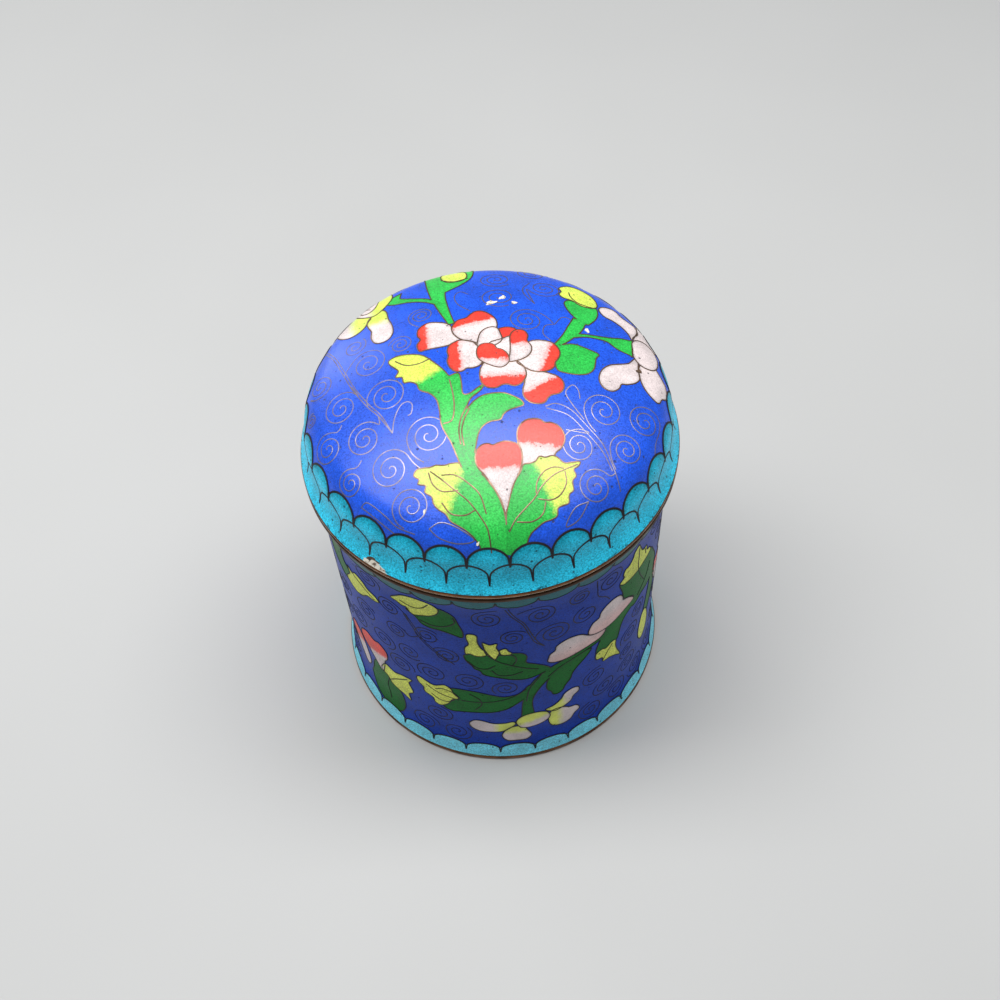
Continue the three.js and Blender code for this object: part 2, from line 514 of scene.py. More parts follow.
def peony():
    """The open flower in the middle of the lid: white petals with coral edges round a small heart."""
    return [
        Cell([(-5.2, 8.0), (-6.4, 11.2), (-7.6, 13.6), (-10.2, 14.9), (-12.6, 15.2), (-14.6, 13.6), (-14.9, 11.2),
              (-14.2, 9.6), (-15.0, 8.0), (-14.4, 5.8), (-12.6, 5.9), (-8.4, 6.1), (-6.2, 6.9)],
             ((-12.6, 5), (-12.9, 15))),
        Cell([(-4.8, 7.6), (-6.4, 9.6), (-6.9, 11.8), (-6.4, 13.2), (-5.4, 14.6), (-3.4, 15.2), (-2.6, 16.2),
              (-1.2, 17.4), (0.4, 17.3), (1.8, 16.2), (2.9, 14.8), (3.5, 13.0), (3.3, 10.6), (1.0, 7.0),
              (-1.2, 5.2), (-2.2, 6.4)], ((-6.5, 12.0), (1.0, 13.9)), 1),
        Cell([(-4.9, 7.4), (-6.2, 7.1), (-7.5, 6.2), (-8.1, 4.6), (-7.9, 2.8), (-8.2, 1.2), (-7.6, -0.8), (-6.4, -2.0),
              (-4.9, -2.1), (-3.9, -1.4), (-2.6, -1.5), (-1.2, -1.0), (-0.5, -0.2), (0.2, 2.0), (-0.6, 5.0),
              (-2.4, 6.6)], ((-5.4, -3), (-5.5, 8)), 1),
        Cell([(-0.3, -0.6), (-1.0, -2.2), (-1.2, -4.2), (-0.8, -6.0), (0.4, -7.2), (2.2, -7.4), (3.6, -6.7),
              (4.8, -6.6), (6.4, -7.1), (8.0, -6.2), (9.0, -4.4), (8.9, -2.4), (8.0, -0.9), (6.6, 0.4), (4.4, 1.0),
              (1.0, 1.0)], ((9.5, -4.2), (-2, -4.4)), 1),
        Cell([(7.2, -0.2), (8.6, -1.8), (10.4, -3.0), (12.4, -3.2), (14.0, -2.8), (15.4, -1.8), (15.9, -0.2),
              (16.8, 1.2), (17.2, 3.0), (16.6, 4.8), (15.4, 6.0), (13.6, 6.4), (12.0, 6.4), (10.2, 5.7), (9.0, 3.0)],
             ((15.4, 4.8), (12.6, -2.6)), 1),
        Cell([(8.0, -1.0), (9.4, -2.0), (12.4, -3.0), (14.4, -3.6), (16.2, -4.4), (17.2, -5.8), (17.1, -7.6),
              (16.0, -8.9), (14.4, -9.4), (13.4, -10.2), (12.6, -11.4), (11.0, -11.8), (9.2, -11.3), (8.1, -9.9),
              (8.0, -8.2), (8.4, -6.6), (8.6, -5.0), (8.0, -3.0)], ((15.8, -4.2), (8.4, -9.2))),
        Cell([(3.8, 10.2), (5.2, 10.8), (6.6, 10.7), (7.6, 10.2), (8.4, 8.6), (6.4, 6.8), (4.4, 6.6), (3.8, 8.4)],
             ALL_FAR, 1),
        Cell([(-1.1, 4.6), (-1.0, 7.2), (-0.3, 9.4), (1.0, 10.7), (2.4, 11.1), (3.5, 10.6), (4.0, 9.2), (4.3, 6.4),
              (2.0, 4.6)], None, 2),
        Cell([(1.4, 5.6), (4.4, 6.9), (6.2, 7.6), (6.8, 5.4), (6.4, 2.4), (4.8, 1.0), (2.8, 3.2)], None, 2),
        Cell([(5.5, -0.2), (5.9, 2.4), (6.1, 5.0), (6.2, 7.6), (6.9, 9.2), (8.2, 9.9), (9.6, 9.5), (10.3, 8.0),
              (10.0, 6.2), (10.7, 4.8), (10.8, 3.2), (10.0, 1.6), (8.6, 0.5), (7.0, -0.1)], ((6, 5.4), (10.5, 5.7)), 3),
        Cell([(-1.5, 2.0), (-1.5, 3.6), (-0.9, 5.0), (0.2, 5.6), (1.6, 5.5), (2.6, 4.9), (3.0, 3.9), (4.2, 3.4),
              (5.2, 2.2), (5.6, 0.8), (5.4, -0.4), (4.4, -1.5), (3.2, -1.8), (1.6, -1.2), (0.0, -0.2), (-1.1, 0.9)],
             ((-1, 1.1), (5.5, 0.7)), 4),
    ]


def lid_buds():
    """Two closed buds, heart-shaped, coral above and white below."""
    return [
        Cell([(2.3, -36.6), (1.6, -34.0), (0.4, -31.4), (-0.8, -29.4), (-1.8, -27.8), (-3.0, -26.2), (-3.4, -24.4),
              (-3.0, -22.4), (-1.8, -21.2), (-0.4, -21.0), (0.6, -21.4), (2.0, -20.9), (3.6, -20.7), (5.8, -21.4),
              (6.6, -22.8), (6.7, -24.6), (6.4, -26.4), (5.8, -28.0), (4.6, -30.2), (3.6, -32.8), (2.9, -35.0)],
             ((-3, -26.5), (6.5, -26.5)), 3),
        Cell([(6.6, -26.0), (6.3, -23.6), (6.0, -21.0), (6.0, -18.8), (6.6, -17.2), (8.0, -15.9), (9.6, -15.5),
              (11.2, -15.7), (12.2, -16.4), (13.6, -16.4), (15.2, -17.2), (16.2, -18.8), (16.3, -20.6), (15.4, -22.4),
              (14.2, -23.4), (13.4, -24.6), (11.0, -26.0), (8.6, -27.0)], ((5, -20.8), (16, -22.2))),
    ]


def lid_leaves():
    """Stems and leaves, green at the stem and lemon yellow at the tip."""
    stems = [
        ribbon([(-6.9, 13.6), (-8.6, 19.5), (-9.9, 25.5), (-10.4, 31.0), (-11.0, 37.0), (-11.6, 42.0)],
               [0.7, 1.2, 1.7, 2.3, 2.5, 2.6]),
        ribbon([(-9.4, 22.5), (-13.0, 25.4), (-17.0, 27.2), (-20.6, 28.6), (-22.4, 31.0)], [0.7, 0.8, 0.9, 1.6, 3.2]),
        ribbon([(16.6, 5.0), (19.4, 8.2), (21.6, 11.6), (23.2, 15.0)], [0.6, 1.2, 1.7, 1.6]),
        ribbon([(19.6, 8.6), (24.0, 9.4), (29.0, 9.3), (32.0, 8.6), (35.4, 8.1)], [0.9, 0.5, 0.8, 2.2, 2.9]),
        [(-8.0, -3.0), (-5.8, -2.6), (-5.3, -5.2), (-5.1, -8.2), (-3.6, -8.3), (-1.8, -7.0), (-0.4, -6.2),
         (-1.2, -7.8), (-3.4, -9.6), (-4.4, -11.6), (-4.6, -14.0), (-4.2, -18.0), (-3.6, -22.0), (-2.6, -26.0),
         (-1.0, -32.0), (1.6, -40.0), (-3.0, -40.0), (-5.4, -30.0), (-6.6, -25.6), (-7.6, -22.4), (-8.4, -19.8),
         (-9.6, -17.2), (-10.3, -15.0), (-10.5, -11.6), (-11.0, -8.9), (-12.4, -7.0), (-14.6, -5.4), (-11.0, -4.0)],
        [(-9.0, 28.0), (-6.0, 29.6), (-3.8, 31.6), (-2.0, 34.4), (-1.2, 38.0), (-1.4, 42.0), (-4.0, 46.0),
         (-8.4, 46.0), (-10.4, 40.0), (-10.2, 33.0)],
        [(24.8, 13.6), (22.6, 15.2), (21.2, 17.4), (20.4, 19.6), (20.2, 22.0), (21.6, 23.4), (25.0, 22.0),
         (28.0, 21.5), (28.2, 19.0), (27.4, 16.6), (26.0, 14.6)],
        [(16.6, 4.4), (18.6, 5.6), (21.0, 5.9), (23.6, 5.0), (26.4, 3.7), (25.6, 2.2), (25.2, 0.4), (24.6, -1.4),
         (23.0, -2.9), (20.6, -3.4), (18.0, -3.2), (16.3, -2.6), (15.8, -1.0), (16.2, 1.2)],
        [(-6.2, -19.5), (-5.8, -16.0), (-5.4, -13.6), (-4.3, -12.0), (-2.8, -10.4), (-1.2, -9.3), (1.0, -8.8),
         (3.6, -8.8), (5.6, -9.6), (7.4, -10.8), (7.9, -12.0), (6.6, -12.6), (4.8, -13.2), (3.4, -14.2), (2.6, -15.5),
         (0.6, -15.8), (-1.0, -16.6), (-2.2, -18.2), (-2.9, -20.6), (-3.6, -23.8), (-4.2, -26.0), (-6.0, -24.0)],
    ]
    tipped = [
        Cell([(-21.7, 4.9), (-19.8, 5.8), (-16.4, 5.4), (-13.6, 4.2), (-11.2, 1.6), (-9.0, -1.2), (-7.8, -4.2),
              (-9.8, -6.6), (-12.2, -6.8), (-14.6, -5.6), (-15.3, -3.8), (-16.8, -2.8), (-18.2, -2.7), (-18.6, -1.0),
              (-20.1, -0.6), (-19.4, 1.0), (-20.4, 2.4), (-21.4, 3.6)], ((-15.6, -3.7), (-9, -0.4)), 1, "leaf"),
        Cell([(-17.1, -26.2), (-16.4, -25.0), (-15.0, -24.8), (-13.4, -24.9), (-12.0, -24.6), (-10.4, -24.9),
              (-8.8, -24.7), (-7.0, -24.8), (-6.4, -26.0), (-5.2, -27.6), (-3.4, -27.0), (-1.8, -28.2), (-0.6, -30.0),
              (0.8, -32.4), (1.8, -35.4), (2.3, -38.4), (2.6, -41.6), (2.8, -45.6), (-3.0, -45.6), (-4.0, -43.0),
              (-5.2, -41.0), (-6.8, -39.4), (-8.2, -38.4), (-9.8, -37.2), (-10.8, -35.5), (-12.2, -34.4),
              (-13.2, -33.0), (-13.5, -31.4), (-14.9, -30.2), (-14.6, -28.8), (-16.3, -28.2), (-16.0, -27.2)],
             ((-11, -37.5), (-5.6, -24.6)), 2, "leaf"),
        Cell([(19.4, -25.4), (17.6, -25.6), (15.8, -25.8), (14.4, -24.6), (13.2, -24.2), (11.8, -24.6), (10.4, -24.4),
              (9.6, -25.4), (8.4, -25.9), (6.8, -26.2), (6.2, -27.6), (5.0, -29.4), (4.0, -31.4), (3.0, -34.0),
              (2.4, -37.0), (2.2, -41.0), (2.2, -45.6), (6.4, -45.6), (6.8, -43.0), (7.6, -41.2), (9.2, -39.8),
              (10.6, -38.8), (12.4, -38.2), (13.6, -37.4), (13.8, -35.8), (15.0, -35.2), (16.3, -34.6),
              (16.5, -32.8), (17.5, -31.8), (17.4, -29.8), (18.3, -28.6), (17.8, -27.2), (18.9, -26.4)],
             ((8.6, -24), (13.6, -37.4)), 2, "leaf"),
        Cell([(20.6, 30.4), (22.6, 31.2), (25.0, 30.4), (27.4, 28.0), (28.6, 25.0), (28.4, 22.2), (26.6, 21.2),
              (24.2, 21.6), (22.4, 23.4), (20.2, 24.4), (19.4, 26.0), (20.1, 27.6), (19.7, 29.2)], ALL_FAR, 1),
        Cell([(-9.2, 41.0), (-9.4, 37.0), (-8.0, 34.0), (-5.6, 33.3), (-3.6, 34.2), (-2.8, 36.6), (-3.4, 40.0),
              (-5.4, 42.6), (-8.0, 43.0)], ALL_FAR, 1),
    ]
    return [Cell(outline, family="leaf") for outline in stems] + tipped


def lid_blossoms():
    """Pale blossoms at the left and right shoulders, with lemon at the heart."""
    left = [
        Cell([(-34.6, 42.4), (-35.4, 40.6), (-34.2, 39.0), (-32.2, 38.6), (-29.4, 41.0), (-29.0, 43.4), (-30.2, 45.2),
              (-32.6, 44.6)], ((-33.6, 38), (-34.4, 48))),
        Cell([(-34.2, 37.6), (-36.6, 36.2), (-38.6, 33.0), (-39.3, 29.8), (-38.6, 26.6), (-36.8, 22.8), (-35.0, 19.8),
              (-32.6, 18.4), (-30.2, 18.8), (-28.4, 20.4), (-27.6, 22.4), (-27.0, 24.2), (-28.6, 27.0),
              (-30.4, 32.0), (-32.0, 37.4)], ((-31, 19), (-36, 37))),
        Cell([(-26.4, 25.2), (-27.8, 22.4), (-27.4, 20.0), (-26.4, 17.6), (-26.3, 14.8), (-25.2, 12.6), (-23.4, 12.0),
              (-21.6, 12.8), (-20.8, 15.0), (-21.2, 18.0), (-22.2, 21.0), (-23.0, 24.8), (-24.6, 26.4)],
             ((-20, 20.2), (-28, 20.6))),
        Cell([(-32.6, 33.4), (-32.0, 29.6), (-30.4, 26.6), (-28.2, 25.0), (-26.0, 24.6), (-24.2, 26.2), (-22.6, 29.0),
              (-21.8, 31.8), (-22.4, 35.0), (-23.6, 38.6), (-25.4, 41.0), (-28.0, 41.6), (-30.8, 39.6),
              (-32.2, 36.8)], ((-27, 24), (-28.6, 42)), 1),
        Cell([(-31.2, 33.0), (-30.4, 29.0), (-28.6, 27.0), (-26.6, 28.0), (-25.8, 31.0), (-26.2, 35.0), (-27.6, 38.4),
              (-30.0, 38.0), (-31.2, 36.0)], ALL_FAR, 2),
    ]
    right = [
        [(35.4, 4.6), (33.6, 2.6), (31.0, 1.6), (28.4, 0.6), (26.4, -1.4), (25.6, -4.0), (26.4, -6.2), (28.4, -6.9),
         (30.2, -5.8), (31.0, -4.4), (32.4, -4.2), (34.6, -3.2), (35.9, -1.6), (35.9, 1.0), (36.2, 4.0)],
        [(35.9, -0.6), (36.4, -3.4), (37.6, -5.6), (39.4, -7.3), (40.6, -7.2), (41.6, -5.8), (43.2, -5.0),
         (44.0, -2.8), (43.6, -0.4), (42.0, 1.8), (40.4, 4.0), (37.6, 4.0), (36.2, 2.0)],
        [(28.8, 20.8), (29.4, 22.6), (31.4, 23.2), (33.4, 22.6), (34.6, 20.4), (36.4, 19.2), (38.2, 18.2),
         (38.0, 15.4), (36.8, 13.0), (35.8, 11.4), (35.2, 13.4), (33.8, 15.6), (31.8, 17.4), (29.8, 18.6)],
        [(36.2, 11.6), (38.0, 14.6), (38.6, 18.0), (40.4, 21.0), (43.0, 24.0), (45.4, 27.4), (47.4, 25.0),
         (46.6, 20.0), (45.2, 15.0), (43.4, 11.0), (41.0, 9.0)],
        [(35.0, 33.6), (37.0, 29.4), (40.0, 26.4), (43.2, 24.8), (45.2, 27.8), (44.4, 29.4), (42.0, 30.0),
         (40.0, 32.6), (38.0, 36.0)],
    ]
    oval = [(35.4, 8.4), (35.2, 5.6), (36.4, 3.2), (38.4, 2.2), (40.4, 2.6), (42.0, 4.6), (42.8, 7.6), (42.2, 10.2),
            (40.0, 11.8), (37.4, 11.8), (35.8, 10.6)]
    return left + [Cell(outline, ALL_FAR) for outline in right] + [Cell(oval, ALL_FAR, 1)]


def flake(x, y, length, width, turn):
    """A small ragged loss in the enamel: an ellipse whose radius wavers with its angle."""
    angle = np.linspace(0, 2 * math.pi, 15)[:-1]
    r = 1 + 0.22 * np.sin(3 * angle + x) + 0.16 * np.sin(5 * angle + y)
    flat = np.stack([length * r * np.cos(angle), width * r * np.sin(angle)], 1) / 2
    c, s = math.cos(math.radians(turn)), math.sin(math.radians(turn))
    return Cell(flat @ np.array([[c, s], [-s, c]]) + (x, y), wired=False)


# Losses in the enamel of the lid: x, y, length, width, degrees turned
LID_STAINS = ((-35.0, -43.4, 4.6, 1.1, -34), (36.0, 0.8, 1.5, 1.2, 20))
LID_FLAKES = (
    (-34.6, -45.0, 8.0, 1.7, -38),
    (-36.9, -43.0, 2.4, 0.9, -36),
    (-4.3, -42.6, 1.0, 0.6, 55),
    (-15.4, -34.4, 1.2, 0.5, 70),
    (24.5, 11.4, 0.9, 1.6, 20),
    (2.6, 20.6, 2.6, 1.4, 20),
    (5.4, 22.8, 1.9, 1.2, 40),
    (8.0, 20.4, 1.3, 1.2, 0),
)


# Scrolls that fill free ground keep this far from the middle of the crown
SCROLL_REACH = 40.5

# Scrolls on the lid: x, y, radius, degrees of the outer end, turning hand and the tail's far point
LID_SCROLLS = (
    (-39.7, 4.5, 3.8, 215, 1, (-41.5, 1.5)),
    (-26.7, 6.0, 4.7, 150, -1, (-33.0, 4.5)),
    (-18.9, 9.6, 3.0, 170, -1, None),
    (-33.6, -4.9, 4.7, 30, 1, (-31.0, 0.5)),
    (-22.3, -5.1, 4.7, 165, -1, (-26.8, -6.6)),
    (-42.3, -4.3, 2.0, 60, 1, None),
    (-37.4, -14.4, 4.2, 60, 1, (-33.5, -9.4)),
    (-28.0, -15.0, 4.5, 40, 1, (-24.4, -10.2)),
    (-13.2, -17.4, 5.0, 200, -1, (-14.6, -23.5)),
    (-22.3, -23.7, 4.9, 20, 1, (-15.2, -25.0)),
    (-32.2, -24.5, 3.5, 70, 1, (-29.0, -19.8)),
    (-18.3, -33.0, 4.5, 200, -1, (-20.6, -37.2)),
    (25.9, -12.6, 4.7, 200, -1, (23.6, -18.0)),
    (35.8, -13.8, 4.4, 20, 1, (39.8, -15.0)),
    (30.6, -21.7, 4.1, 190, -1, (27.6, -26.5)),
    (19.5, -21.7, 4.1, 60, 1, (16.8, -18.0)),
    (22.7, -30.9, 4.2, 45, 1, (27.4, -27.4)),
    (16.0, 28.2, 4.2, 200, 1, (12.9, 20.3)),
    (4.5, 23.3, 4.4, 300, -1, None),
    (10.5, 13.5, 4.3, 50, 1, (16.6, 12.6)),
    (-14.1, 18.9, 3.1, 200, -1, (-14.6, 14.6)),
)

# Free wires on the lid: stalks of the scrolls, hooks, and the veins of leaves and petals
LID_LINES = (
    ((-43.5, 22.0), (-39.5, 17.0), (-36.2, 12.0), (-33.4, 5.7), (-30.6, -0.7), (-27.0, -6.7), (-24.3, -10.2),
     (-21.3, -15.2)),
    ((-42.9, 22.4), (-38.9, 17.2), (-35.6, 12.2), (-32.8, 5.9), (-30.0, -0.5), (-26.4, -6.5), (-23.8, -10.0),
     (-21.3, -15.2)),
    ((-21.3, -15.2), (-20.7, -11.8), (-19.3, -8.8), (-17.6, -8.0), (-16.5, -9.0), (-16.8, -11.2), (-17.6, -11.6)),
    ((-30.4, -30.4), (-28.4, -29.9), (-24.7, -33.6), (-22.3, -36.6), (-18.3, -38.9)),
    ((-30.4, -30.4), (-27.0, -34.0), (-23.0, -38.4)),
    ((-14.8, -38.2), (-12.0, -37.2), (-8.4, -38.8), (-5.0, -41.8), (-8.8, -42.2), (-12.6, -40.6), (-14.8, -38.2)),
    ((12.6, -12.4), (15.1, -11.6), (18.3, -13.0), (21.5, -16.6), (25.0, -21.0), (27.0, -26.0), (28.8, -31.4)),
    ((12.8, -12.8), (17.6, -14.4), (21.2, -18.2), (24.6, -22.4), (26.8, -27.0)),
    ((21.1, -15.2), (18.4, -11.0), (17.5, -8.4), (19.2, -6.4), (20.4, -7.6), (20.6, -10.0)),
    ((20.9, -34.2), (17.6, -35.8), (15.6, -39.8), (18.6, -38.2), (20.9, -34.2)),
    ((-2.4, 17.8), (-5.2, 21.2), (-6.0, 25.0), (-4.6, 27.2), (-2.6, 25.4)),
    ((12.9, 20.3), (11.0, 24.0), (10.6, 27.5), (12.6, 31.0)),
    ((16.9, 12.4), (19.0, 15.4), (21.0, 14.6), (20.6, 11.6)),
    ((16.9, 12.4), (14.6, 11.6), (13.9, 8.8), (15.4, 6.6)),
    ((40.0, -15.0), (38.6, -19.0), (39.0, -23.6)),
    ((2.0, -36.6), (1.9, -40.0), (2.1, -45.0)),
    ((2.6, -36.6), (2.6, -40.0), (2.8, -45.0)),
)
LID_VEINS = (
    ((-20.2, 4.3), (-17.6, 2.3), (-14.6, 2.0), (-11.9, 3.0)),
    ((-7.9, -4.0), (-7.3, -8.0), (-7.2, -11.6), (-7.9, -14.6), (-9.8, -15.2)),
    ((-4.4, -11.4), (-5.8, -14.2), (-6.5, -17.2), (-6.3, -20.6)),
    ((-3.9, -12.2), (-5.2, -14.8), (-5.9, -17.6), (-5.6, -21.0)),
    ((-1.4, -45.0), (-1.8, -40.0), (-3.2, -37.0), (-5.4, -33.6), (-8.4, -30.6), (-11.2, -27.8), (-13.4, -25.8)),
    ((-13.8, -26.0), (-13.0, -28.8), (-11.0, -30.6), (-7.6, -30.8)),
    ((-11.0, -27.0), (-8.0, -27.4), (-5.4, -29.4), (-3.0, -32.2), (-1.9, -36.4)),
    ((-11.4, -33.0), (-9.6, -35.6), (-6.6, -36.3), (-4.2, -35.4)),
    ((2.8, -40.6), (4.4, -38.0), (6.8, -35.6), (8.8, -33.6), (10.6, -31.0), (13.2, -28.6), (16.0, -27.2),
     (18.8, -26.0)),
    ((15.8, -27.6), (16.0, -30.2), (14.6, -32.8), (12.4, -34.0), (9.6, -33.8)),
    ((9.2, -32.6), (9.6, -30.0), (11.2, -27.8), (13.4, -26.8), (15.6, -27.0)),
    ((4.6, -38.6), (8.0, -38.6), (10.4, -37.0), (11.2, -34.4)),
    ((22.0, 27.6), (22.2, 25.2), (23.6, 22.8), (25.6, 21.8), (28.0, 21.4)),
    ((-27.6, 29.0), (-30.2, 32.4), (-28.2, 34.4)),
    ((-9.4, 35.6), (-6.0, 33.6), (-2.6, 35.0)),
)


# The picture on the body, unrolled: x from the front to the right, z up


def body_leaves():
    """Stems and leaves of the spray round the body."""
    green = [
        ribbon([(27.5, 49.6), (20.5, 47.9), (14.5, 46.2), (9.6, 42.2), (6.4, 36.4), (4.9, 30.0), (4.9, 21.0)],
               [1.6, 1.0, 1.5, 1.9, 1.6, 1.3, 1.8]),
        [(-23.4, 71.8), (-21.2, 69.8), (-19.8, 67.4), (-17.6, 66.6), (-15.0, 66.6), (-12.6, 66.0), (-10.0, 65.0),
         (-9.6, 67.4), (-10.4, 71.0), (-11.4, 74.6), (-13.2, 76.6), (-15.0, 77.2), (-17.4, 75.0), (-20.6, 73.0)],
        [(-9.8, 56.6), (-9.9, 54.4), (-9.2, 52.6), (-8.4, 51.4), (-7.8, 49.8), (-6.4, 48.6), (-5.8, 47.0),
         (-3.8, 45.9), (-1.2, 44.9), (1.4, 43.8), (5.0, 43.2), (8.6, 44.4), (11.0, 46.0), (9.4, 48.4), (7.0, 50.4),
         (5.0, 52.0), (5.2, 54.8), (4.2, 56.8), (1.8, 57.6), (-2.4, 58.0), (-6.0, 58.0)],
        [(31.0, 68.0), (32.2, 63.0), (33.0, 59.2), (35.2, 57.0), (37.6, 54.2), (36.0, 51.6), (38.0, 49.4),
         (41.6, 50.2), (46.0, 49.4), (49.0, 50.6), (50.0, 56.0), (47.6, 62.0), (45.0, 66.4), (40.0, 67.4),
         (34.6, 67.6)],
        [(26.2, 50.0), (27.4, 52.2), (30.4, 53.0), (34.0, 53.6), (38.4, 53.9), (38.8, 51.0), (36.4, 50.0),
         (34.0, 48.6), (32.8, 46.2), (32.2, 43.2), (31.4, 40.6), (28.6, 39.6), (24.6, 40.6), (24.2, 43.4),
         (25.0, 46.6)],
        [(22.6, 46.4), (20.8, 43.4), (18.8, 41.2), (17.2, 38.6), (16.6, 36.0), (15.2, 33.6), (14.4, 31.4),
         (13.2, 30.4), (11.8, 30.8), (11.2, 32.8), (10.2, 34.4), (10.0, 37.0), (10.6, 40.4), (12.6, 43.6),
         (16.0, 46.0), (19.6, 47.2)],
        [(-14.8, 36.6), (-12.0, 37.2), (-8.0, 36.9), (-4.4, 35.6), (-1.0, 34.4), (2.8, 35.6), (5.6, 39.4),
         (5.0, 33.6), (2.2, 30.0), (-0.6, 27.2), (-4.4, 25.4), (-8.6, 24.8), (-12.6, 24.0), (-15.4, 23.2),
         (-17.6, 24.8), (-17.0, 30.0), (-16.0, 34.6)],
        [(-42.6, 68.0), (-44.6, 72.0), (-44.2, 76.4), (-42.6, 80.4), (-46.0, 82.6), (-50.0, 78.0), (-51.0, 70.0),
         (-47.6, 64.0), (-44.6, 63.4)],
        [(-33.4, 6.6), (-31.2, 10.0), (-30.8, 15.0), (-31.6, 19.4), (-33.6, 22.4), (-35.0, 25.4), (-38.6, 27.6),
         (-41.4, 25.0), (-43.0, 19.0), (-44.6, 14.0), (-43.0, 8.4), (-39.0, 6.2)],
        [(46.4, 30.4), (50.0, 37.0), (51.6, 44.0), (50.6, 51.0), (48.0, 52.0), (46.2, 44.0), (44.6, 35.0)],
    ]
    lemon = [
        [(-27.4, 74.0), (-25.6, 76.2), (-23.4, 78.4), (-20.6, 79.5), (-17.2, 79.2), (-15.0, 77.4), (-15.0, 75.0),
         (-16.6, 72.8), (-19.6, 71.2), (-21.6, 70.4), (-22.6, 71.2), (-23.2, 72.6), (-24.6, 72.6), (-25.8, 73.4)],
        [(-9.6, 57.2), (-9.6, 60.2), (-8.6, 62.2), (-9.0, 65.0), (-8.8, 66.8), (-7.6, 67.2), (-6.4, 66.4),
         (-6.4, 63.4), (-5.6, 60.4), (-4.4, 58.6), (-4.8, 56.8), (-7.0, 56.4), (-8.6, 57.4)],
        [(-5.2, 63.4), (-3.6, 62.3), (-1.8, 62.9), (-2.0, 60.8), (-1.4, 58.4), (-2.0, 56.2), (-2.6, 55.0),
         (-3.8, 56.2), (-4.8, 58.4), (-5.0, 61.0)],
        [(-1.3, 59.4), (0.2, 60.2), (0.8, 58.8), (1.7, 57.6), (0.6, 56.8), (-1.0, 57.4)],
        [(36.8, 78.6), (35.6, 76.6), (35.3, 74.4), (34.0, 72.8), (32.6, 72.6), (32.0, 70.8), (32.4, 69.4),
         (30.9, 68.2), (32.2, 66.4), (33.8, 65.8), (37.0, 65.4), (41.0, 65.6), (44.6, 66.0), (44.2, 68.0),
         (42.2, 69.6), (41.9, 71.8), (40.2, 72.2), (39.2, 73.6), (38.2, 76.0)],
        [(24.2, 41.2), (26.2, 41.9), (27.6, 40.8), (29.4, 41.6), (31.1, 40.9), (31.2, 38.0), (31.8, 35.2),
         (33.4, 30.2), (31.2, 32.4), (29.0, 34.0), (26.8, 34.6), (26.4, 37.0), (24.4, 38.2)],
        [(-24.4, 36.2), (-23.4, 37.3), (-21.4, 36.2), (-19.6, 35.5), (-17.8, 36.6), (-16.4, 37.5), (-14.8, 36.2),
         (-14.2, 33.8), (-13.0, 31.6), (-14.8, 30.0), (-15.6, 28.0), (-16.8, 26.0), (-18.6, 24.6), (-20.0, 25.6),
         (-20.4, 27.8), (-22.7, 29.6), (-22.8, 32.0), (-24.2, 33.8)],
        [(-44.8, 64.2), (-42.6, 68.2), (-43.0, 71.2), (-41.2, 70.2), (-39.6, 71.5), (-37.0, 70.8), (-35.4, 69.0),
         (-33.2, 68.4), (-32.0, 66.6), (-33.8, 65.6), (-36.2, 65.2), (-38.2, 63.0), (-40.8, 61.6), (-43.0, 62.4)],
        [(-38.0, 25.4), (-36.6, 29.4), (-35.2, 31.0), (-32.4, 30.2), (-29.4, 31.7), (-26.4, 32.0), (-27.6, 29.4),
         (-27.0, 26.6), (-26.8, 24.4), (-28.4, 22.0), (-28.2, 18.4), (-30.4, 19.8), (-32.6, 20.4), (-34.6, 21.2),
         (-35.6, 23.6)],
        [(44.0, 35.6), (46.8, 34.6), (49.0, 27.4), (48.4, 22.0), (45.6, 20.4), (43.2, 24.0), (42.6, 29.0)],
    ]
    return [Cell(outline, family="leaf") for outline in green] + [Cell(outline, ALL_FAR, 1) for outline in lemon]


def body_petals():
    """Pale pink petals above the stem."""
    return [
        Cell([(10.6, 51.4), (10.4, 49.6), (12.0, 48.3), (15.0, 47.9), (18.6, 48.4), (22.0, 48.8), (25.4, 49.2),
              (27.0, 51.6), (24.0, 52.6), (21.6, 54.2), (19.4, 56.6), (17.0, 57.6), (14.6, 57.4), (12.6, 56.0),
              (12.3, 54.2), (11.0, 53.0)], ((28, 53), (10, 51)), 1),
        Cell([(21.4, 55.8), (22.6, 58.8), (24.5, 59.6), (25.0, 61.6), (26.8, 63.2), (29.2, 63.6), (31.4, 62.6),
              (32.5, 60.6), (32.8, 58.8), (35.2, 57.0), (37.4, 53.6), (33.6, 53.0), (30.2, 52.2), (26.8, 52.0),
              (24.2, 52.6), (22.0, 53.8)], ((38, 57), (21, 57)), 2),
    ]


def body_buds():
    """Coral buds with white sepals, at the left and the right."""
    return [
        Cell([(-38.0, 24.0), (-42.0, 30.0), (-45.2, 34.0), (-44.6, 38.0), (-41.6, 40.6), (-38.6, 39.9), (-36.4, 41.0),
              (-34.0, 38.8), (-34.2, 35.0), (-35.6, 32.0), (-36.4, 28.0)], ((-46, 29.4), (-33, 36.2)), 1),
        Cell([(-47.0, 16.0), (-50.0, 24.0), (-52.0, 31.0), (-49.4, 35.4), (-46.0, 33.4), (-44.4, 27.0), (-44.0, 20.0)],
             ((-53, 25), (-43, 31))),
        Cell([(49.8, 51.6), (50.4, 45.0), (54.4, 39.0), (57.4, 40.0), (58.4, 46.0), (55.4, 51.6), (52.6, 52.4)],
             ((50, 46), (60, 46))),
    ]


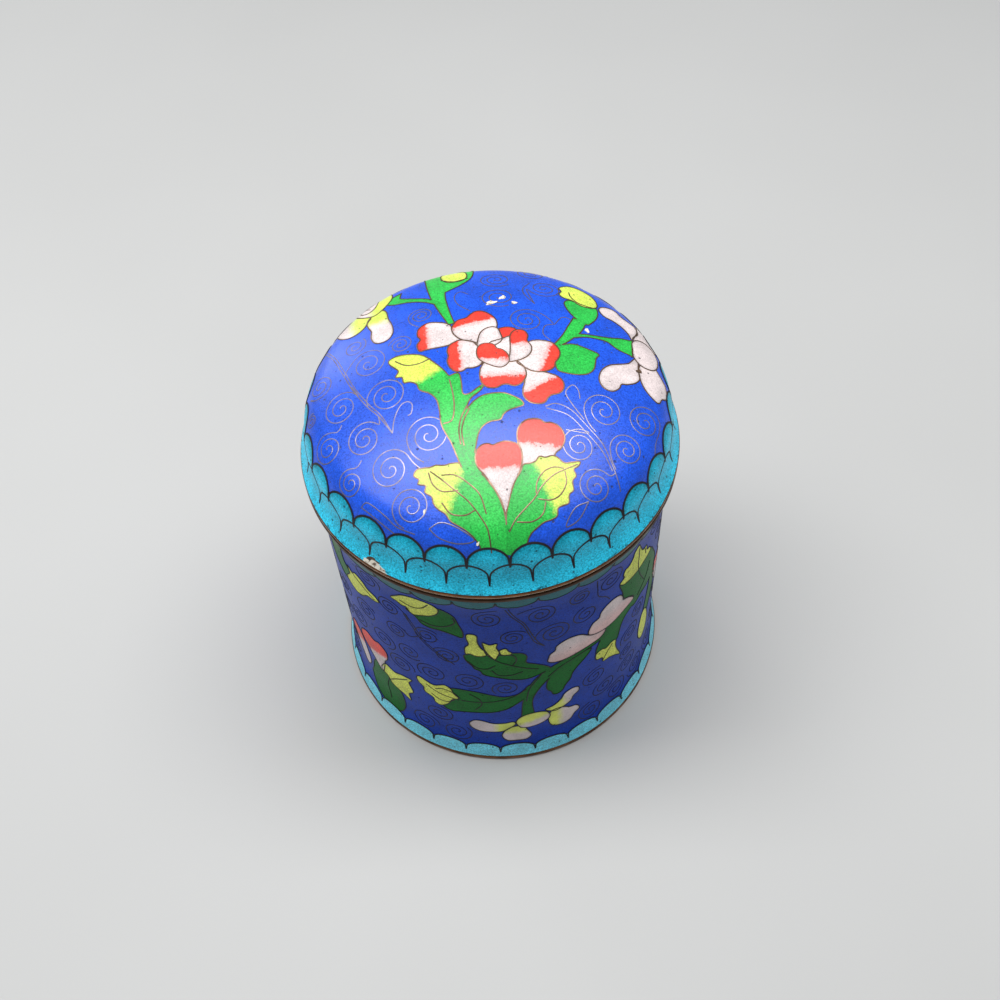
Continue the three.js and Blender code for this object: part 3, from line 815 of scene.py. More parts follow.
def body_blossoms():
    """The white blossom with a lemon heart low on the front."""
    return [
        Cell([(-11.0, 17.6), (-10.6, 15.4), (-8.6, 13.6), (-5.6, 13.2), (-2.4, 13.6), (-0.4, 15.2), (1.4, 17.6),
              (0.8, 19.2), (-1.6, 18.6), (-4.6, 18.6), (-7.4, 19.9), (-9.6, 19.8)], ((-3.8, 10), (-3.8, 22))),
        Cell([(-0.2, 15.6), (-1.8, 13.4), (-2.4, 10.8), (-1.0, 8.6), (1.4, 8.4), (4.2, 8.5), (5.6, 10.2), (4.8, 12.8),
              (3.6, 15.4), (1.8, 16.4)], ((6, 12.4), (-3, 12.8))),
        Cell([(11.2, 21.0), (10.4, 18.0), (10.6, 14.4), (11.8, 12.0), (14.6, 11.2), (17.0, 12.2), (18.0, 14.2),
              (19.6, 16.0), (18.6, 18.6), (16.6, 19.4), (14.8, 21.0), (12.8, 21.6)], ((13.8, 23), (14.0, 11))),
        Cell([(9.6, 23.0), (12.0, 24.2), (14.0, 26.4), (15.0, 28.8), (17.2, 29.9), (19.0, 29.0), (19.2, 26.8),
              (17.6, 25.2), (16.8, 23.0), (14.6, 21.4), (12.0, 20.8)], ((14.2, 29), (15.6, 21))),
        Cell([(1.6, 18.6), (2.6, 15.6), (4.4, 14.7), (7.4, 15.2), (10.0, 16.8), (10.9, 19.0), (10.0, 21.6),
              (7.8, 22.8), (4.6, 22.6), (2.4, 21.0)], ((11, 20.4), (2, 16.4)), 1),
    ]


# Scrolls, free wires and veins on the body, in the order of values that the lid's have
BODY_SCROLLS = (
    (-3.6, 74.5, 3.9, 100, 1, (-1.2, 79.0)),
    (8.8, 73.6, 3.8, 80, -1, (3.4, 76.0)),
    (18.8, 75.0, 3.2, 60, 1, None),
    (27.6, 74.0, 4.2, 120, -1, (24.0, 78.0)),
    (2.0, 65.0, 3.2, 80, 1, (5.2, 66.8)),
    (12.2, 63.2, 4.2, 120, -1, (7.2, 62.4)),
    (-28.8, 68.0, 3.5, 60, 1, (-23.4, 66.6)),
    (-19.0, 61.8, 3.6, 40, 1, None),
    (-28.0, 57.4, 3.4, 20, 1, (-21.4, 60.0)),
    (-14.6, 54.2, 3.7, 150, -1, None),
)
BODY_LINES = (
    ((0.6, 79.2), (2.0, 75.0), (4.4, 70.8), (5.8, 66.0), (7.2, 61.4), (9.6, 58.2)),
    ((1.3, 79.2), (2.7, 75.0), (5.0, 70.8), (6.4, 66.0), (7.7, 61.8), (9.6, 58.2)),
    ((23.0, 78.6), (23.6, 74.0), (24.0, 70.4), (26.4, 67.6), (27.6, 65.4)),
    ((-24.6, 68.4), (-23.0, 64.6), (-20.8, 58.8), (-17.4, 54.4), (-12.8, 50.4)),
    ((-24.0, 68.8), (-22.4, 65.0), (-20.2, 59.2), (-16.9, 54.8), (-12.8, 50.4)),
)
BODY_VEINS = (
    ((-24.8, 74.8), (-21.6, 73.9), (-19.0, 75.2), (-17.0, 78.2)),
    ((-20.2, 68.9), (-17.0, 68.1), (-13.8, 69.0), (-11.4, 71.4), (-11.6, 73.6)),
    ((-5.4, 62.4), (-4.4, 58.4), (-2.2, 54.2), (1.0, 51.6), (4.4, 49.2), (8.0, 47.2)),
    ((-1.6, 57.0), (1.6, 56.6), (2.6, 54.0), (1.6, 51.4)),
    ((-9.2, 53.4), (-7.2, 50.4), (-4.6, 50.0), (-2.6, 51.8)),
    ((-3.6, 49.2), (-2.0, 46.6), (1.0, 46.2), (4.0, 47.4)),
    ((37.8, 76.0), (38.2, 72.0), (38.2, 68.0), (39.4, 62.6), (42.2, 56.0)),
    ((41.0, 71.6), (41.8, 68.4)),
    ((29.8, 40.6), (28.0, 38.0), (26.8, 35.4)),
    ((-21.8, 34.4), (-19.0, 32.2), (-16.0, 31.2), (-13.0, 30.6)),
    ((-19.2, 33.6), (-17.0, 35.0), (-14.0, 34.0), (-12.6, 31.4)),
    ((-20.6, 30.0), (-18.4, 28.0), (-16.0, 28.2), (-14.2, 30.2)),
    ((-12.4, 30.8), (-8.0, 31.0), (-3.0, 32.0), (1.4, 34.2), (4.8, 37.6)),
    ((-10.0, 35.4), (-7.6, 32.8), (-7.0, 29.8), (-8.8, 26.4)),
    ((8.6, 43.6), (5.6, 37.4), (4.6, 30.6)),
    ((22.0, 47.4), (14.4, 45.2), (10.4, 41.6)),
    ((-41.4, 70.0), (-38.0, 68.6), (-33.6, 66.2)),
    ((-34.8, 23.0), (-32.0, 26.6), (-28.0, 30.8)),
    ((-36.4, 10.0), (-36.8, 17.0), (-35.4, 23.0)),
    ((45.4, 60.0), (43.6, 55.6), (39.4, 52.0)),
)
SPRAY_SPACING = math.pi * WALL_RADIUS


def both_sides(cells):
    """The spray at the front, and the same spray mirrored at the back."""
    return cells + [c.moved(SPRAY_SPACING) for c in cells]


def both_sides_lines(lines):
    """Free wires of the front, and their mirror image at the back."""
    curves = [smooth(points, STRETCH * len(points)) for points in lines]
    return curves + [c * np.array([-1.0, 1.0]) + np.array([SPRAY_SPACING, 0.0]) for c in curves]


# Scalloped edges


def arch(turns, count, phase, base, height, squareness=2.0):
    """Edge of a row of scallops at an angle in turns: half a superellipse over each pitch."""
    across = np.mod(turns * count + phase, 1.0) * 2 - 1
    return base + height * np.maximum(1 - np.abs(across) ** squareness, 0) ** (1 / squareness)


SCALLOPS = 29
BAND_STEPS = 12
POINTS_PER_SCALLOP = 22

# Rows of scallops: phase in pitches, place of the arches' feet, and their rise towards the picture
LID_ROWS = ((0.26, 48.0, -4.1), (0.76, 53.4, -4.8))
BODY_TOP_ROW = (0.15, 83.6, -3.2)
BODY_FOOT_ROW = (0.33, 4.4, 2.5)

# How far above the lid's edge the upper row ends, under the lower one, and where its shading starts
UPPER_SHORT = 0.4
SHADE_START = -1.8
SHADE_STEP = 2.4

# How far the wires of neighbouring scallops run on to their common point
LID_POINT = 1.6
BODY_POINT = 1.0
BODY_SCALLOP_WIRE = 0.75

# Room between a wire of the picture and the scallops
CLEARANCE = 0.1


def scallop_band(parts, conform, place, row, outer, lift, start=0.0):
    """A field of turquoise between a row of scallops and the metal edge: at each angle the grid runs
    evenly from the edge to the scallop, and blend is the distance from the scallop plus start."""
    phase, base, height = row
    count = SCALLOPS * POINTS_PER_SCALLOP
    turns = np.arange(count) / count
    inner = arch(turns, SCALLOPS, phase, base, height)
    t = np.linspace(0, 1, BAND_STEPS)[:, None]
    position = inner + (outer - inner) * t
    spots = place(turns, position)
    top, under = (conform(spots, np.full(position.shape, level)) for level in (lift, SINK))
    grid = np.concatenate([top, under[::-1]])
    depth = np.abs(position - inner) + start
    depth = np.vstack([depth, depth[::-1]])
    edge = np.vstack([t, t[::-1]]) ** 8
    if outer < base:
        grid, depth, edge = grid[::-1], depth[::-1], edge[::-1]
    parts.grid(grid, depth, edge, closed_rows=True)


def lid_place(turns, s):
    """Plan point of the lid at a clockwise angle in turns from the front and an arc length."""
    angle = -math.pi / 2 - 2 * math.pi * turns
    return np.stack([s * np.cos(angle), s * np.sin(angle)], -1)


def body_place(turns, z):
    """Plan point of the body at an angle in turns from the front and a height."""
    x = 2 * math.pi * WALL_RADIUS * turns
    return np.stack(np.broadcast_arrays(x, z), -1)


def scallop_wires(row, place, reach):
    """The arched wires of a row: each follows its scallop and bends at both ends to a common point, reach
    past the foot of the arch, so that two neighbours meet in a V."""
    phase, base, height = row
    paths = []
    for number in range(SCALLOPS):
        across = np.sin(np.linspace(-math.pi / 2, math.pi / 2, 30)) * 0.94
        turns = (number + 0.5 + across / 2 - phase) / SCALLOPS
        level = arch(turns, SCALLOPS, phase, base, height)
        point = np.array([base - reach * np.sign(height)])
        ends = [place((number + side - phase) / SCALLOPS * np.ones(1), point) for side in (0.0, 1.0)]
        paths.append(np.vstack([ends[0], place(turns, level), ends[1]]))
    return paths


# Materials


def new_node(tree, kind, values=None, **props):
    """A node with its properties and its unlinked input values set."""
    item = tree.nodes.new(kind)
    for key, value in props.items():
        setattr(item, key, value)
    for key, value in (values or {}).items():
        item.inputs[key].default_value = value
    return item


def math_node(tree, operation, a, b=None, clamp=False):
    """A maths node fed by sockets or numbers."""
    item = new_node(tree, "ShaderNodeMath", operation=operation, use_clamp=clamp)
    for index, value in enumerate((a, b)):
        if value is None:
            continue
        if isinstance(value, (int, float)):
            item.inputs[index].default_value = value
        else:
            tree.links.new(value, item.inputs[index])
    return item.outputs[0]


def range_node(tree, value, low, high, to_low=0.0, to_high=1.0, soft=True):
    """Maps a value from one range to another, clamped, with smooth ends."""
    item = new_node(tree, "ShaderNodeMapRange", {1: low, 2: high, 3: to_low, 4: to_high})
    item.interpolation_type = "SMOOTHSTEP" if soft else "LINEAR"
    tree.links.new(value, item.inputs[0])
    return item.outputs[0]


def mix_colours(tree, factor, a, b, blend="MIX"):
    """Mixes two colours, each a socket or a value."""
    item = new_node(tree, "ShaderNodeMix", data_type="RGBA", blend_type=blend)
    for socket, value in ((item.inputs[0], factor), (item.inputs[6], a), (item.inputs[7], b)):
        if isinstance(value, (int, float)):
            socket.default_value = value
        elif isinstance(value, (tuple, list)):
            socket.default_value = (*value[:3], 1.0)
        else:
            tree.links.new(value, socket)
    return item.outputs[2]


def new_group(name, inputs, outputs):
    """An empty shader node group with named float or colour sockets."""
    tree = bpy.data.node_groups.new(name, "ShaderNodeTree")
    for title, kind, value in inputs:
        socket = tree.interface.new_socket(name=title, in_out="INPUT", socket_type=kind)
        socket.default_value = value
    for title, kind in outputs:
        tree.interface.new_socket(name=title, in_out="OUTPUT", socket_type=kind)
    return tree, tree.nodes.new("NodeGroupInput"), tree.nodes.new("NodeGroupOutput")


def noise(tree, coordinates, size, detail=2.0, roughness=0.55):
    """Noise whose features are about size across, in metres, or follow a socket that gives 1 over size."""
    item = new_node(tree, "ShaderNodeTexNoise", {"Detail": detail, "Roughness": roughness})
    tree.links.new(coordinates, item.inputs["Vector"])
    if isinstance(size, (int, float)):
        item.inputs["Scale"].default_value = 1.0 / size
    else:
        tree.links.new(size, item.inputs["Scale"])
    return item.outputs["Fac"]


def enamel_grain_group():
    """Grain of ground glass and small pits. Tone is a fine mottle about one half, Pit is 1 in a pit, and
    Height is the relief of both."""
    tree, start, end = new_group(
        "enamel grain",
        [
            ("Grain per metre", "NodeSocketFloat", 2600.0),
            ("Pits per metre", "NodeSocketFloat", 760.0),
            ("Pit share", "NodeSocketFloat", 0.3),
            ("Pit size", "NodeSocketFloat", 0.2),
        ],
        [(title, "NodeSocketFloat") for title in ("Tone", "Cloud", "Pit", "Height")],
    )
    coordinates = tree.nodes.new("ShaderNodeTexCoord").outputs["Object"]
    fine = noise(tree, coordinates, start.outputs["Grain per metre"], 3.0, 0.7)
    cloud = noise(tree, coordinates, 0.006, 3.0, 0.6)
    cells = new_node(tree, "ShaderNodeTexVoronoi", feature="F1")
    tree.links.new(coordinates, cells.inputs["Vector"])
    tree.links.new(start.outputs["Pits per metre"], cells.inputs["Scale"])
    chance = new_node(tree, "ShaderNodeSeparateColor")
    tree.links.new(cells.outputs["Color"], chance.inputs[0])
    chosen = math_node(tree, "LESS_THAN", chance.outputs[0], start.outputs["Pit share"])
    varied = math_node(tree, "MULTIPLY", start.outputs["Pit size"], math_node(tree, "ADD", chance.outputs[1], 0.4))
    depth = math_node(tree, "SUBTRACT", 1.0, math_node(tree, "DIVIDE", cells.outputs["Distance"], varied), True)
    pit = math_node(tree, "MULTIPLY", math_node(tree, "POWER", depth, 0.35), chosen)
    height = math_node(tree, "SUBTRACT", math_node(tree, "MULTIPLY", fine, 0.35), pit)
    for title, socket in (("Tone", fine), ("Cloud", cloud), ("Pit", pit), ("Height", height)):
        tree.links.new(socket, end.inputs[title])
    return tree


def metal_wear_group():
    """Handling wear on metal: Shade is a patchy tarnish, Fine is a finer one, Height is fine scratching."""
    tree, start, end = new_group(
        "metal wear",
        [("Patch size", "NodeSocketFloat", 160.0), ("Fine size", "NodeSocketFloat", 1500.0)],
        [(title, "NodeSocketFloat") for title in ("Shade", "Fine", "Height")],
    )
    coordinates = tree.nodes.new("ShaderNodeTexCoord").outputs["Object"]
    patch = noise(tree, coordinates, start.outputs["Patch size"], 4.0, 0.6)
    fine = noise(tree, coordinates, start.outputs["Fine size"], 3.0, 0.65)
    tree.links.new(range_node(tree, patch, 0.35, 0.68), end.inputs["Shade"])
    tree.links.new(range_node(tree, fine, 0.3, 0.7), end.inputs["Fine"])
    tree.links.new(fine, end.inputs["Height"])
    return tree


def shared_group(name, maker):
    """A node group made once and used by every material that needs it."""
    return bpy.data.node_groups.get(name) or maker()


def new_material(name):
    """A material with an empty tree, its Principled shader and its output."""
    material = bpy.data.materials.new(name)
    material.use_nodes = True
    tree = material.node_tree
    tree.nodes.clear()
    shader = tree.nodes.new("ShaderNodeBsdfPrincipled")
    output = tree.nodes.new("ShaderNodeOutputMaterial")
    tree.links.new(shader.outputs[0], output.inputs[0])
    return material, tree, shader


def enamel(name, near, far, middle=None, softness=0.35, fade=1.6, wobble=0.8, rim=0.35, pits=0.2, mottle=0.34,
           shine=0.5, grime=0.0):
    """Glass enamel in two tints. The blend attribute, shaken by noise, turns near into far, through a
    middle tint if there is one. The glass is deeper by the wires, clouded, grainy and pitted. grime darkens
    specks where the pool attribute nears 1, by the metal edge."""
    material, tree, shader = new_material(name)
    grain = new_node(tree, "ShaderNodeGroup", node_tree=shared_group("enamel grain", enamel_grain_group))
    grain.inputs["Pit share"].default_value = pits
    coordinates = tree.nodes.new("ShaderNodeTexCoord").outputs["Object"]
    blend = new_node(tree, "ShaderNodeAttribute", attribute_name="blend").outputs["Fac"]
    pool = new_node(tree, "ShaderNodeAttribute", attribute_name="pool").outputs["Fac"]
    ragged = noise(tree, coordinates, 0.0013, 4.0, 0.75)
    shake = math_node(tree, "MULTIPLY", math_node(tree, "SUBTRACT", ragged, 0.5), wobble * 4)
    shaken = math_node(tree, "ADD", blend, shake)
    tint = near
    if middle is not None:
        tint = mix_colours(tree, range_node(tree, shaken, -fade, 0.0), tint, middle)
    tint = mix_colours(tree, range_node(tree, shaken, -softness, softness), tint, far)
    if rim:
        deep = range_node(tree, pool, 0.15, 0.8, rim, 0.0)
        tint = mix_colours(tree, deep, tint, mix_colours(tree, 1.0, tint, (0.3, 0.33, 0.36), "MULTIPLY"))
    light = range_node(tree, grain.outputs["Tone"], 0.3, 0.7, 1.0 - mottle, 1.0 + mottle)
    cloud = range_node(tree, grain.outputs["Cloud"], 0.3, 0.7, 0.88, 1.12)
    shade = math_node(tree, "MULTIPLY", light, cloud)
    grey = new_node(tree, "ShaderNodeCombineColor")
    for index in range(3):
        tree.links.new(shade, grey.inputs[index])
    tint = mix_colours(tree, 1.0, tint, grey.outputs[0], "MULTIPLY")
    tint = mix_colours(tree, math_node(tree, "MULTIPLY", grain.outputs["Pit"], 0.9), tint, (0.01, 0.01, 0.012))
    if grime:
        edge, spots = range_node(tree, pool, 0.45, 0.75), range_node(tree, ragged, 0.53, 0.6)
        specks = math_node(tree, "MULTIPLY", edge, spots)
        tint = mix_colours(tree, math_node(tree, "MULTIPLY", specks, grime), tint, (0.01, 0.02, 0.02))
    tree.links.new(tint, shader.inputs["Base Color"])
    rough = range_node(tree, grain.outputs["Tone"], 0.25, 0.75, 0.26, 0.42)
    rough = math_node(tree, "ADD", rough, math_node(tree, "MULTIPLY", grain.outputs["Pit"], 0.3))
    tree.links.new(rough, shader.inputs["Roughness"])
    shader.inputs["IOR"].default_value = 1.5
    shader.inputs["Specular IOR Level"].default_value = shine
    bump = new_node(tree, "ShaderNodeBump", {"Strength": 0.5, "Distance": 0.00018})
    tree.links.new(grain.outputs["Height"], bump.inputs["Height"])
    tree.links.new(bump.outputs[0], shader.inputs["Normal"])
    return material


def chipped(name, pale, dark):
    """Bare rough ground where the enamel has come off, pale with dark stains."""
    material, tree, shader = new_material(name)
    coordinates = tree.nodes.new("ShaderNodeTexCoord").outputs["Object"]
    stain = range_node(tree, noise(tree, coordinates, 0.0012, 4.0, 0.7), 0.5, 0.7)
    tree.links.new(mix_colours(tree, stain, tuple(pale), tuple(dark)), shader.inputs["Base Color"])
    shader.inputs["Roughness"].default_value = 0.8
    bump = new_node(tree, "ShaderNodeBump", {"Strength": 0.6, "Distance": 0.0002})
    tree.links.new(stain, bump.inputs["Height"])
    tree.links.new(bump.outputs[0], shader.inputs["Normal"])
    return material


def metal(name, bright, dull, roughness, dullness=0.7, highlight_colour=None, metallic=1.0):
    """Worn metal: dull patches over the bright colour, rougher where dull. With a highlight colour, the part whose
    blend attribute is 1 gets a painted highlight. Wire with metallic 0 has no metallic gloss; its dark colour is partly
    tarnish, partly painted shade."""
    material, tree, shader = new_material(name)
    wear = new_node(tree, "ShaderNodeGroup", node_tree=shared_group("metal wear", metal_wear_group))
    patch = math_node(tree, "MULTIPLY", wear.outputs["Shade"], dullness)
    tint = mix_colours(tree, patch, bright, dull)
    tint = mix_colours(tree, math_node(tree, "MULTIPLY", wear.outputs["Fine"], 0.35), tint, dull)
    if highlight_colour is not None:
        blend = new_node(tree, "ShaderNodeAttribute", attribute_name="blend").outputs["Fac"]
        kept = range_node(tree, wear.outputs["Fine"], 0.0, 1.0, 1.0, 0.75)
        share = math_node(tree, "MULTIPLY", range_node(tree, blend, 0.25, 0.7), kept)
        tint = mix_colours(tree, share, tint, highlight_colour)
    tree.links.new(tint, shader.inputs["Base Color"])
    rough = range_node(tree, wear.outputs["Shade"], 0.0, 1.0, roughness, roughness + 0.2)
    tree.links.new(rough, shader.inputs["Roughness"])
    shader.inputs["Metallic"].default_value = metallic
    shader.inputs["Specular IOR Level"].default_value = 0.2 + 0.3 * metallic
    bump = new_node(tree, "ShaderNodeBump", {"Strength": 0.2, "Distance": 0.00005})
    tree.links.new(wear.outputs["Height"], bump.inputs["Height"])
    tree.links.new(bump.outputs[0], shader.inputs["Normal"])
    return material


# Settings


def colour(name, description, value):
    """A colour setting."""
    return FloatVectorProperty(
        name=name, description=description, default=value, subtype="COLOR", size=3, min=0, max=1
    )


def width(name, description, value, low, high):
    """A setting for a small size in millimetres."""
    text = description + " in millimetres"
    return FloatProperty(name=name, description=text, default=value, min=low, max=high)


class EnamelBoxSizes(bpy.types.PropertyGroup):
    """Sizes of the wires."""

    wire_width: width("Wire width", "Width of the wires", 0.34, 0.1, 2.0)
    scallop_width: width("Scallop wire width", "Width of the scallop wires", 0.55, 0.1, 2.0)
    wire_rise: width("Wire rise", "Height of the wires above the ground", 0.13, 0.1, 0.2)


class EnamelBoxColours(bpy.types.PropertyGroup):
    """Colours of the enamels and metals."""

    lid_cobalt: colour("Lid cobalt", "Ground of the lid", (0.007, 0.078, 0.62))
    # Shaded body cobalt is painted shade: the cobalt darkened for the body, which stands in shade
    body_cobalt: colour("Body cobalt", "Ground of the body", (0.003, 0.04, 0.36))
    turquoise: colour("Turquoise", "Field of the scallops", (0.03, 0.6, 0.85))
    # Teal is painted shade: each scallop darkens from turquoise towards its arch, as a sunken cell in shade
    teal: colour("Teal", "Upper edge of the scallops", (0.005, 0.29, 0.41))
    # Lit foot turquoise is painted light: the turquoise above the foot lightened where the flare catches the light
    foot_turquoise: colour("Foot turquoise", "Field above the foot", (0.17, 0.68, 0.84))
    # Shaded teal is painted shadow: the turquoise under the mouth darkened for the lid's shadow
    shaded_teal: colour("Shaded teal", "Field under the mouth", (0.006, 0.13, 0.15))
    lining: colour("Lining", "Inside and underside", (0.03, 0.33, 0.38))
    green: colour("Green", "Leaves", (0.02, 0.46, 0.06))
    # Shaded body green is painted shade: the leaf green darkened for the body, which stands in shade
    body_green: colour("Body green", "Leaves of the body", (0.004, 0.14, 0.018))
    lemon: colour("Lemon", "Leaf tips", (0.62, 0.76, 0.1))
    body_lemon: colour("Body lemon", "Leaf tips of the body", (0.72, 0.78, 0.14))
    white: colour("White", "Petals", (0.7, 0.6, 0.59))
    blush: colour("Blush", "Petals between white and coral", (0.8, 0.42, 0.4))
    coral: colour("Coral", "Petal edges", (0.78, 0.05, 0.03))
    pink: colour("Pink", "Petals of the body", (0.8, 0.52, 0.5))
    # Shaded brass is painted shade: the mouth edge darkened nearly to black for the lid's shadow over it
    brass: colour("Brass", "Mouth edge", (0.07, 0.035, 0.018))
    # Painted highlight: a bright band on the lower arris of the lid edge, standing in for the light it catches
    polish: colour("Polish", "Rubbed arris of the lid edge", (1.0, 0.86, 0.66))
    copper: colour("Copper", "Edges of the lid and the foot", (0.26, 0.105, 0.035))
    tarnish: colour("Tarnish", "Dull patches of the metal", (0.05, 0.025, 0.014))
    wire: colour("Wire", "Wires of the lid", (0.3, 0.2, 0.14))
    pale_wire: colour("Pale wire", "Scrolls of the lid", (0.36, 0.33, 0.42))
    # Dark wire: near black and without gloss, partly tarnish, partly painted shade for the dark surroundings the wires
    # reflect
    dark_wire: colour("Dark wire", "Wires of the scallops and the body", (0.025, 0.022, 0.028))
    bare: colour("Bare ground", "Losses in the enamel", (0.8, 0.74, 0.62))
    stain: colour("Stain", "Stains in the losses", (0.1, 0.055, 0.03))


# Darkest patches of the dark wires: partly tarnish, partly painted shade
DARK_WIRE_SHADE = (0.008, 0.007, 0.008)


def settings():
    """The sizes and colours in use."""
    scene = bpy.context.scene
    return scene.enamel_box_sizes, scene.enamel_box_colours


def leaf_enamel(name, green, lemon, shine=0.5):
    """Leaf enamel, green into lemon with a softly ragged change."""
    return enamel(name, tuple(green), tuple(lemon), softness=1.1, wobble=0.9, rim=0.2, shine=shine)


# Operators


class ENAMELBOX_OT_body_shell(bpy.types.Operator):
    """Makes the enamelled cup of the body"""

    bl_idname = "enamel_box.body_shell"
    bl_label = "Body shell"

    def execute(self, context):
        """The wall's outer face inset for the wires, then the mouth, the inside, the floor and the recess."""
        _, tints = settings()
        z = np.linspace(BODY_LOW[2], BODY_HIGH[2], 90)
        outer_r, outer_z, _, _ = body_profile(z, INSET)
        inner_r, inner_z, _, _ = body_profile(z[::-1], WALL)
        floor = RECESS + WALL
        keep = inner_z > floor + FLOOR_CORNER
        corner = np.linspace(0, math.pi / 2, 8)
        corner_r = WALL_RADIUS - WALL - FLOOR_CORNER + FLOOR_CORNER * np.cos(corner)
        corner_z = floor + FLOOR_CORNER - FLOOR_CORNER * np.sin(corner)
        skirt = EDGE_RADIUS - WALL
        profile = np.vstack(
            [
                [(0, RECESS), (skirt - 2, RECESS), (skirt, RECESS), (skirt, BODY_LOW[2])],
                np.stack([outer_r, outer_z], 1),
                np.stack([inner_r[keep], inner_z[keep]], 1),
                np.stack([corner_r, corner_z], 1),
                [(0, floor)],
            ]
        )
        inner = np.ones(len(profile))
        inner[4 : 4 + len(z)] = -1
        parts = turned(profile, inner * LINING)
        # The body's cobalt is darker than the lid's as painted shade
        cobalt, lining = tuple(tints.body_cobalt), tuple(tints.lining)
        ground = enamel("body cobalt enamel", cobalt, lining, rim=0.0, shine=0.08)
        add_piece(parts, "body_enamel", ground, ["body_wall"])
        return {"FINISHED"}


class ENAMELBOX_OT_lid_shell(bpy.types.Operator):
    """Makes the enamelled dome of the lid"""

    bl_idname = "enamel_box.lid_shell"
    bl_label = "Lid shell"

    def execute(self, context):
        """The dome's outer face inset for the wires, its edge, and the inner face a wall's thickness in."""
        _, tints = settings()
        s = np.linspace(0, LID_REACH, 110)
        outer_r, outer_z, _, _ = lid_profile(s, INSET)
        inner_r, inner_z, _, _ = lid_profile(s[::-1], WALL)
        outer_r[0] = inner_r[-1] = 0.0
        profile = np.vstack([np.stack([outer_r, outer_z], 1), np.stack([inner_r, inner_z], 1)])
        inner = np.concatenate([-np.ones(len(s)), np.ones(len(s))])
        parts = turned(profile[::-1], inner[::-1] * LINING)
        ground = enamel("lid cobalt enamel", tuple(tints.lid_cobalt), tuple(tints.lining), rim=0.0)
        add_piece(parts, "lid_enamel", ground, ["lid_dome"])
        return {"FINISHED"}


def rounded_ring(base, top, inner, outer, rounding=0.45):
    """Closed section of a ring whose outer corners are quarter circles."""
    quarter = np.linspace(0, math.pi / 2, 9)
    centre, along, up = outer - rounding, rounding * np.sin(quarter), rounding * np.cos(quarter)
    low = np.stack([centre + along, base + rounding - up], 1)
    high = np.stack([centre + up, top - rounding + along], 1)
    return [(inner, base), *low, *high, (inner, top)]


class ENAMELBOX_OT_rims(bpy.types.Operator):
    """Makes the three metal edges and the collar"""

    bl_idname = "enamel_box.rims"
    bl_label = "Metal edges"

    def execute(self, context):
        """Each edge is a ring of rounded section; the mouth's also rises as the collar."""
        _, tints = settings()
        dull, polish = tuple(tints.tarnish), tuple(tints.polish)
        # The mouth edge's brass is painted shade, nearly black, for the shadow of the lid
        brass = metal("brass edge", tuple(tints.brass), dull, 0.3, 0.6)
        # The copper of the lid edge takes the painted highlight colour on its highlit band
        copper = metal("copper edge", tuple(tints.copper), dull, 0.3, 0.5, polish)
        inner = RIM_RADIUS - RIM_WIDTH
        foot = rounded_ring(FOOT_LOW[2], BODY_LOW[2] - SEAM, inner, RIM_RADIUS)
        lid = rounded_ring(LID_RIM_LOW[2], LID_LOW[2] - SEAM, inner, RIM_RADIUS)
        collar_in = COLLAR_RADIUS - COLLAR_WALL
        base = BODY_HIGH[2] + SEAM
        seat = LID_RIM_LOW[2] - GAP
        mouth = rounded_ring(base, seat, collar_in, RIM_RADIUS, 0.5)[:-1]
        lip = MOUTH_HIGH[2]
        mouth += [(COLLAR_RADIUS, seat), (COLLAR_RADIUS, lip - COLLAR_CHAMFER[1])]
        mouth += [(COLLAR_RADIUS - COLLAR_CHAMFER[0], lip), (collar_in, lip)]
        sharp = math.radians(50)
        for name, section, material, slot, node in (
            ("foot_edge", foot, copper, "foot_copper", "foot_rim"),
            ("lid_edge", lid, copper, "lid_copper", "lid_rim"),
            ("mouth_edge", mouth, brass, "rim_brass", "mouth_rim"),
        ):
            section = np.array(section + section[:1])
            rise = section[:, 1] - LID_RIM_LOW[2]
            # highlit marks the lower arris of the lid edge, which gets the painted highlight; the foot and the mouth
            # have no point in this band
            highlit = (rise > HIGHLIGHT_BAND[0]) & (rise < HIGHLIGHT_BAND[1]) & (section[:, 0] > RIM_RADIUS - HIGHLIGHT_DEPTH)
            add_piece(turned(section, highlit.astype(float)), name, material, [node], sharp)
        return {"FINISHED"}


